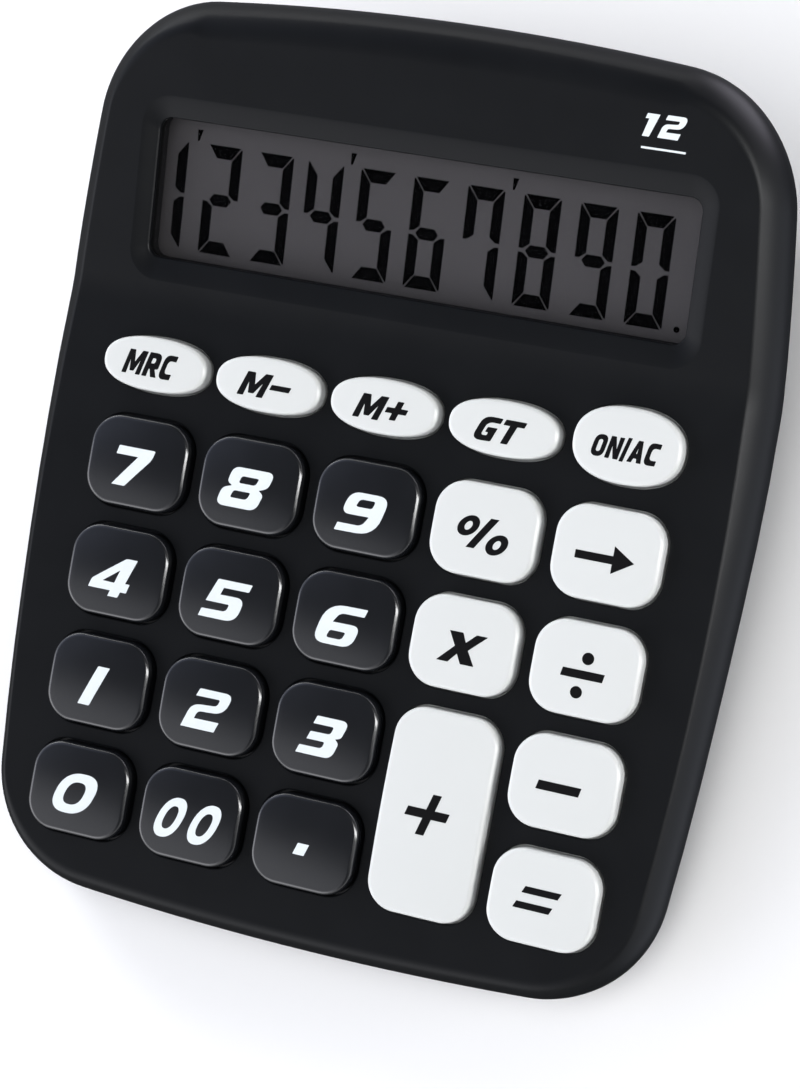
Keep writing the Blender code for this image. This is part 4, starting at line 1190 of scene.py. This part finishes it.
def battery_door():
    """The sliding door, with rounded grip grooves and a sunk arrow that shows its way out."""
    top = FOOT_STAND + DOOR_THICK
    step = top - TONGUE_THICK
    wide = DOOR_X + DOOR_TONGUE
    section = [(EDGE - DOOR_X, FOOT_STAND), (-DOOR_X, FOOT_STAND + EDGE), (-DOOR_X, step),
               (-wide, step), (-wide, top)]
    bm = add_prism(bmesh.new(), mirrored(section), 1, DOOR_FRONT, DOOR_REAR)
    grip = bmesh.new()
    for groove in range(4):
        y = DOOR_REAR - 0.004 - 0.002 * groove
        turns = [math.pi * (1 - k / 8) for k in range(9)]
        ring = [(y - GRIP_HALF, 0.0), (y - GRIP_HALF, FOOT_STAND)]
        ring += [(y + 0.0005 * math.cos(a), FOOT_STAND + 0.0001 + 0.0005 * math.sin(a))
                 for a in turns]
        ring += [(y + GRIP_HALF, FOOT_STAND), (y + GRIP_HALF, 0.0)]
        add_prism(grip, ring, 0, -GRIP_X, GRIP_X)
    tip, tail = DOOR_REAR - 0.0125, DOOR_REAR - 0.0175
    shape = [(0.0, tip), (ARROW_HALF, tail), (-ARROW_HALF, tail)]
    arrow = add_prism(bmesh.new(), shape, 2, 0.0, FOOT_STAND + ARROW_DEPTH)
    mesh = carve("door", bm, DESK, [("DIFFERENCE", cutter, DESK) for cutter in (grip, arrow)])
    piece("door", mesh, DESK, "door", "case_black", replaces=("battery_door",))


def feet():
    """Round pads with a shallow dish, in the sinks of the underside."""
    profile = [(FOOT_RADIUS - 0.0015, 0.00015), (FOOT_RADIUS - 0.0012, 0.0)]
    profile += [(FOOT_RADIUS - inward, up) for up, inward in quarter_turn(FOOT_ROUND, 5)]
    profile.append((FOOT_RADIUS, FOOT_STAND + FOOT_SINK))
    for name, spot in FEET.items():
        mesh = mesh_from("pad_" + name, add_turned(bmesh.new(), profile, 64))
        matrix = DESK @ Matrix.Translation((*spot, 0))
        piece("pad_" + name, mesh, matrix, "case", "foot_rubber", replaces=("foot_" + name,))


def case_screws():
    """Pan-head screws with a cross recess, seen at the bottom of their sinks."""
    radius, height, shank, turns = 0.0025, 0.0013, 0.0011, 10
    seat = SINK_TOP - GAP
    low = seat - height
    profile = [(0.0004, low), (radius * 0.55, low + 0.00006), (radius * 0.8, low + 0.00025),
               (radius * 0.96, low + 0.00065), (radius, low + 0.0010), (radius * 0.97, seat),
               (shank, seat)]
    for turn in range(turns):
        z = seat + (CASE_SCREW_REACH - seat - 0.0015) * (turn + 0.5) / turns
        profile += [(shank * 0.78, z), (shank, z + 0.0002)]
    profile += [(shank * 0.7, CASE_SCREW_REACH - 0.0008), (shank * 0.3, CASE_SCREW_REACH)]
    for number, spot in enumerate(CASE_SCREWS, 1):
        recess = bmesh.new()
        for along in (0, 1):
            rings = []
            for share, z in ((1.0, low - 0.0002), (0.45, low + 0.0009)):
                long, short = 0.00145 * share, 0.00032 * (0.6 + 0.4 * share)
                x, y = (long, short) if along else (short, long)
                rings.append([(x, y, z), (-x, y, z), (-x, -y, z), (x, -y, z)])
            add_loft(recess, rings)
        matrix = DESK @ Matrix.Translation((*spot, 0)) @ Matrix.Rotation(0.4 + number, 4, "Z")
        shaft = add_turned(bmesh.new(), profile, 32)
        mesh = carve(f"screw_{number}", shaft, matrix, [("DIFFERENCE", recess, matrix)])
        piece(f"screw_{number}", mesh, matrix, "case", "steel", replaces=(f"case_screw_{number}",))


# ---------------------------------------------------------------- display


def display_lens():
    """The clear window, with slightly eased edges."""
    rings = []
    for grow, down in ((-LENS_EDGE, 0), (0, LENS_EDGE), (0, LENS_THICK - LENS_EDGE),
                       (-LENS_EDGE, LENS_THICK)):
        margin = LENS_MARGIN + grow
        rings.append(at_height(window_outline(margin, margin, WINDOW_CORNER, 10), LENS_TOP - down))
    mesh = mesh_from("lens", add_loft(bmesh.new(), rings))
    piece("lens", mesh, SCREEN, "case", "window_clear", replaces=("display_window",))


DIGIT_HALF_X = 3.85
DIGIT_LOW, DIGIT_HIGH = 9.6, 31.6
STROKE = 2.2
BAR = 2.6
PART = 0.24


def segment_loops():
    """The seven strokes of one digit, in millimetres about its centre line, with mitred ends."""
    x, low, high = DIGIT_HALF_X, DIGIT_LOW, DIGIT_HIGH
    mid = (low + high) / 2
    w, h, g = STROKE, BAR, PART
    half = h / 2 * 0.92

    def flip(loop, across=False, along=False):
        made = [(-px if across else px, low + high - py if along else py) for px, py in loop]
        return made[::-1] if across != along else made

    top = [(-x + g * 1.6, high), (x - g * 1.6, high), (x - w - g * 0.2, high - h),
           (-x + w + g * 0.2, high - h)]
    upper_right = [(x, high - g * 1.9), (x, mid + g * 1.6), (x - w * 0.42, mid + h * 0.16),
                   (x - w, mid + half + g), (x - w, high - h - g * 1.1),
                   (x - g * 0.8, high - g * 1.1)]
    middle = [(-x + w * 0.5 + g * 1.4, mid), (-x + w + g * 0.6, mid + half),
              (x - w - g * 0.6, mid + half), (x - w * 0.5 - g * 1.4, mid),
              (x - w - g * 0.6, mid - half), (-x + w + g * 0.6, mid - half)]
    return {
        "a": top,
        "b": upper_right,
        "c": flip(upper_right, along=True),
        "d": flip(top, along=True),
        "e": flip(upper_right, across=True, along=True),
        "f": flip(upper_right, across=True),
        "g": middle,
    }


LIT = {
    "1": "bc", "2": "abged", "3": "abgcd", "4": "fgbc", "5": "afgcd", "6": "afgedc",
    "7": "fabc", "8": "abcdefg", "9": "abcdfg", "0": "abcdef",
}
SHOWN = (("1", -56.3), ("2", -44.4), ("3", -33.1), ("4", -22.2), ("5", -10.8), ("6", 0.55),
         ("7", 11.9), ("8", 23.6), ("9", 35.2), ("0", 46.7))
TICKS = (-50.4, -16.8, 17.4)
TICK = ((-0.35, 34.2), (0.85, 34.2), (0.15, 31.9), (-0.25, 31.9))
POINT = ((53.55, 10.2), (0.62, 0.62))


def display_digits():
    """The number on the display, as thin dark segments on the glass."""
    segments = segment_loops()
    loops = []
    for digit, x in SHOWN:
        loops += [[(x + px, py) for px, py in segments[letter]] for letter in LIT[digit]]
    loops += [[(x + px, py) for px, py in TICK] for x in TICKS]
    loops.append(slanted_ring(*POINT, 0.0, 2.0, 20))
    flat = flat_mesh("digits", loops)
    mesh = lay_ink("display_digits", flat, lambda x, y: GLASS_TOP, SEGMENT_INK)
    piece("display_digits", mesh, SCREEN, "case", "display_glass", finish="segment_black",
          weigh=False)


MARK_PLACE = (47.9, 49.1)
MARK_SCALE = 0.53


def capacity_mark():
    """A plain numeral for the count of digits, over a thin rule, printed on the cover."""
    flagged = [(-2.3, 3.15, 0.15), (2.4, 3.15, 0.15), (-0.85, -5.1, 0.15), (-3.45, -5.1, 0.15),
               (-1.5, 1.3, 0.1), (-2.9, 1.3, 0.15)]
    two = in_full(DIGITS["2"], DIGIT_CORNER)[0]
    x, y = MARK_PLACE
    loops = [[(x + shift + p.x * MARK_SCALE, y + p.y * MARK_SCALE) for p in round_corners(outline)]
             for outline, shift in ((flagged, -2.7), (two, 1.4))]
    rule = ((-4.4, -4.6), (4.4, -4.6), (4.4, -5.0), (-4.4, -5.0))
    loops.append([(x + px, y + py) for px, py in rule])
    mesh = lay_ink("capacity_mark", flat_mesh("capacity", loops), lambda x, y: 0.0)
    piece("capacity_mark", mesh, SCREEN, "case", "key_white", finish="ink_white", weigh=False)


# ---------------------------------------------------------------- inside


def key_mat():
    """The silicone sheet with its holes, and a soft dome under each key."""
    low = (-BOARD_X, BOARD_FRONT, MAT_TOP - MAT_THICK)
    bm = add_box(bmesh.new(), low, (BOARD_X, BOARD_REAR, MAT_TOP))
    holes = post_set(BOARD_POSTS, BOARD_POST_RADIUS + GAP, BOARD_TOP, MAT_TOP + GAP, 32)
    mesh = carve("mat_sheet", bm, DECK, [("DIFFERENCE", holes, DECK)])
    piece("mat_sheet", mesh, DECK, "case", "silicone_grey", replaces=("key_mat",))
    rise = DOME_TOP - MAT_TOP
    foot, head = DOME_RADII
    profile = [(foot + 0.0004, MAT_TOP - 0.0001), (foot + 0.0003, MAT_TOP + 0.0001)]
    profile += [(foot + (head - foot) * share**0.8, MAT_TOP + rise * share)
                for share in (0.12, 0.3, 0.5, 0.68, 0.8, 0.9)]
    profile += [(head * 0.94, DOME_TOP - 0.00012), (head * 0.8, DOME_TOP), (head * 0.4, DOME_TOP)]
    for key in KEYS:
        name = "dome_" + key.name[4:]
        mesh = mesh_from(name, add_turned(bmesh.new(), profile, 32, key.centre))
        obj = piece(name, mesh, DECK, "case", "silicone_grey", weigh=False)
        anchor = DECK @ Vector((*key.centre, MAT_TOP))
        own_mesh(obj)


def battery_cell():
    """A cylindrical cell with turned shoulders, and a button in an insulating ring."""
    r, length = CELL_RADIUS, CELL_LENGTH
    profile = [(r * 0.45, 0.0003), (r * 0.80, 0.0003), (r * 0.86, 0.0), (r * 0.95, 0.0)]
    profile += [(r * 0.985, 0.0002), (r, 0.0006), (r, length - 0.0008), (r * 0.97, length - 0.0003)]
    profile += [(r * 0.90, length - 0.0001), (r * 0.80, length - 0.0002)]
    profile += [(r * 0.74, length - 0.0006)]
    profile += [(NUB_RADIUS + 0.0004, length - 0.0006), (NUB_RADIUS, length - 0.0003)]
    end = length + NUB_LENGTH
    profile += [(NUB_RADIUS, end - 0.0004), (NUB_RADIUS * 0.9, end - 0.0001)]
    profile += [(NUB_RADIUS * 0.7, end)]
    bm = add_turned(bmesh.new(), profile, 64)
    bmesh.ops.transform(bm, matrix=Matrix.Rotation(math.pi / 2, 4, "Y"), verts=bm.verts)
    centre_z = FOOT_STAND + DOOR_THICK + GAP + CELL_RADIUS + GAP
    matrix = DESK @ Matrix.Translation((CELL_START, CELL_Y, centre_z))
    piece("cell", mesh_from("cell", bm), matrix, "case", "cell_wrap", replaces=("battery_cell",),
          baked=False)


def finish_cad_nodes():
    """Nodes whose shape stays as packed take the finish that their slot names."""
    for row in frame["record"]["subparts"]:
        node = frame["nodes"][row["node"]]
        if not node.hide_render:
            node.data.materials.clear()
            node.data.materials.append(MATERIALS[row["material_slot"]])


# ---------------------------------------------------------------- light, floor and camera


# Brightness of the surroundings, from straight down (-1) to straight up (1)
SKY = ((-1.0, 0.02), (-0.75, 0.05), (-0.5, 0.16), (-0.25, 0.40), (0.0, 0.80), (0.20, 0.70),
       (0.50, 0.16), (0.80, 0.035), (1.0, 0.03))
# Soft glows in the surroundings: direction, colour, and the angles of its full and faded edge
GLOWS = (
    ((-0.46, -0.80, 0.46), (0.80, 0.81, 0.86), 28, 46),
    ((-0.80, 0.30, 0.50), (0.52, 0.58, 0.78), 16, 42),
    ((-0.36, -0.84, 0.42), (2.0, 2.0, 2.1), 6, 24),
    ((-0.86, -0.35, 0.37), (2.4, 2.4, 2.55), 8, 28),
    ((-0.40, 0.60, -0.70), (0.16, 0.16, 0.18), 12, 42),
    ((0.86, -0.20, -0.42), (0.98, 1.03, 1.16), 12, 42),
    ((0.42, 0.88, -0.13), (5.4, 5.2, 6.0), 8, 30),
)
BACKDROP = (0.93, 0.93, 0.935)
# Lamps: name, place, size, power, and the rays that do not see it
LAMPS = (
    ("top", (0.1, -0.1, 1.4), (1.2, 1.2), 10.0, "glossy"),
    ("rear_left", (-0.75, 0.62, 0.34), (0.42, 0.26), 6.0, "glossy"),
    ("rear_strip", (-0.62, 0.93, 0.24), (1.3, 0.18), 3.6, "diffuse"),
    ("right_strip", (0.82, 0.04, 0.76), (0.30, 1.3), 20.0, "diffuse"),
    ("fill", (1.0, 0.05, 0.25), (0.8, 0.3), 6.0, "glossy"),
    ("under", (0.15, 0.10, -0.9), (1.0, 1.0), 22.0, "glossy"),
)
LAMP_TARGET = Vector((0, 0, 0.02))
FLOOR_CLEARS = (0.8, 2.6)


def surroundings():
    """Light from all round, brightest near the horizon, with glows that the shiny parts mirror."""
    world = bpy.data.worlds.new("studio")
    bpy.context.scene.world = world
    world.use_nodes = True
    n = Nodes(world.node_tree)
    aim = n.add("TexCoord").outputs["Generated"]
    up = n.add("SeparateXYZ", i0=aim).outputs[2]
    stops = [((z + 1) / 2, (level,) * 3) for z, level in SKY]
    glow = n.ramp(n.span(up, 0.0, 1.0, -1.0, 1.0), stops)
    for toward, colour, inner, outer in GLOWS:
        settings = {"operation": "DOT_PRODUCT"}
        lie = n.add("VectorMath", settings, i0=aim, i1=Vector(toward).normalized()).outputs[1]
        faded, full = math.cos(math.radians(outer)), math.cos(math.radians(inner))
        near = n.span(lie, 0.0, 1.0, faded, full, "SMOOTHERSTEP")
        glow = n.mix(1.0, glow, n.mix(near, rgba((0, 0, 0)), rgba(colour)), "ADD")
    seen = n.add("LightPath").outputs["Is Camera Ray"]
    background = n.add("Background", Color=n.mix(seen, glow, rgba(BACKDROP)), Strength=1.0)
    n.add("OutputWorld", Surface=background.outputs[0])


def pale_floor():
    """A pale sheet that clears away with distance and from below."""
    bm = bmesh.new()
    bmesh.ops.create_grid(bm, x_segments=1, y_segments=1, size=3.0)
    floor = place("floor", mesh_from("floor", bm), Matrix.Identity(4))
    n, spot = new_material("floor")
    tone = n.mix(n.noise(spot, 3.0, 2.0), rgba((0.90,) * 3), rgba((0.93,) * 3))
    matte = n.add("BsdfDiffuse", Color=tone).outputs[0]
    clear = n.add("BsdfTransparent").outputs[0]
    back = n.add("NewGeometry").outputs["Backfacing"]
    reach = n.add("VectorMath", {"operation": "LENGTH"}, i0=spot).outputs[1]
    far = n.span(reach, 0.0, 1.0, *FLOOR_CLEARS, "SMOOTHSTEP")
    cleared = n.add("Math", {"operation": "MAXIMUM"}, i0=back, i1=far).outputs[0]
    both = n.add("MixShader", i0=cleared, i1=matte, i2=clear)
    n.add("OutputMaterial", Surface=both.outputs[0])
    floor.data.materials.append(MATERIALS["floor"])
    floor.visible_glossy = False
    floor.visible_shadow = False


def lamps():
    """The soft boxes. Each gives either only diffuse light or only highlights."""
    for name, location, size, power, hidden in LAMPS:
        data = bpy.data.lights.new(name, "AREA")
        data.shape = "RECTANGLE"
        data.size, data.size_y = size
        data.energy = power
        obj = bpy.data.objects.new(name, data)
        bpy.context.scene.collection.objects.link(obj)
        obj.location = location
        obj.rotation_euler = (LAMP_TARGET - Vector(location)).to_track_quat("-Z", "Y").to_euler()
        setattr(obj, "visible_" + hidden, False)
    bpy.context.scene.view_settings.view_transform = "Standard"


CAMERA_PLACE = Vector((0.20117711, DESK_Y - 0.01428778, 0.58093235))
CAMERA_TURN = (
    (0.92634093, -0.18509866, 0.32807158),
    (0.21963356, 0.97298095, -0.07119813),
    (-0.30602872, 0.13800927, 0.94196596),
)


def camera():
    data = bpy.data.cameras.new("camera")
    data.lens = 99.17
    data.sensor_width = 36
    data.clip_start, data.clip_end = 0.02, 20
    obj = bpy.data.objects.new("camera", data)
    bpy.context.scene.collection.objects.link(obj)
    obj.matrix_world = Matrix.Translation(CAMERA_PLACE) @ Matrix(CAMERA_TURN).to_4x4()
    bpy.context.scene.camera = obj


# ---------------------------------------------------------------- assembly


def main():
    top_cover()
    bottom_cover()
    battery_door()
    feet()
    case_screws()
    for key in KEYS:
        add_key(key)
    display_lens()
    display_digits()
    capacity_mark()
    key_mat()
    battery_cell()
    finish_cad_nodes()
    surroundings()
    pale_floor()
    lamps()
    camera()


main()
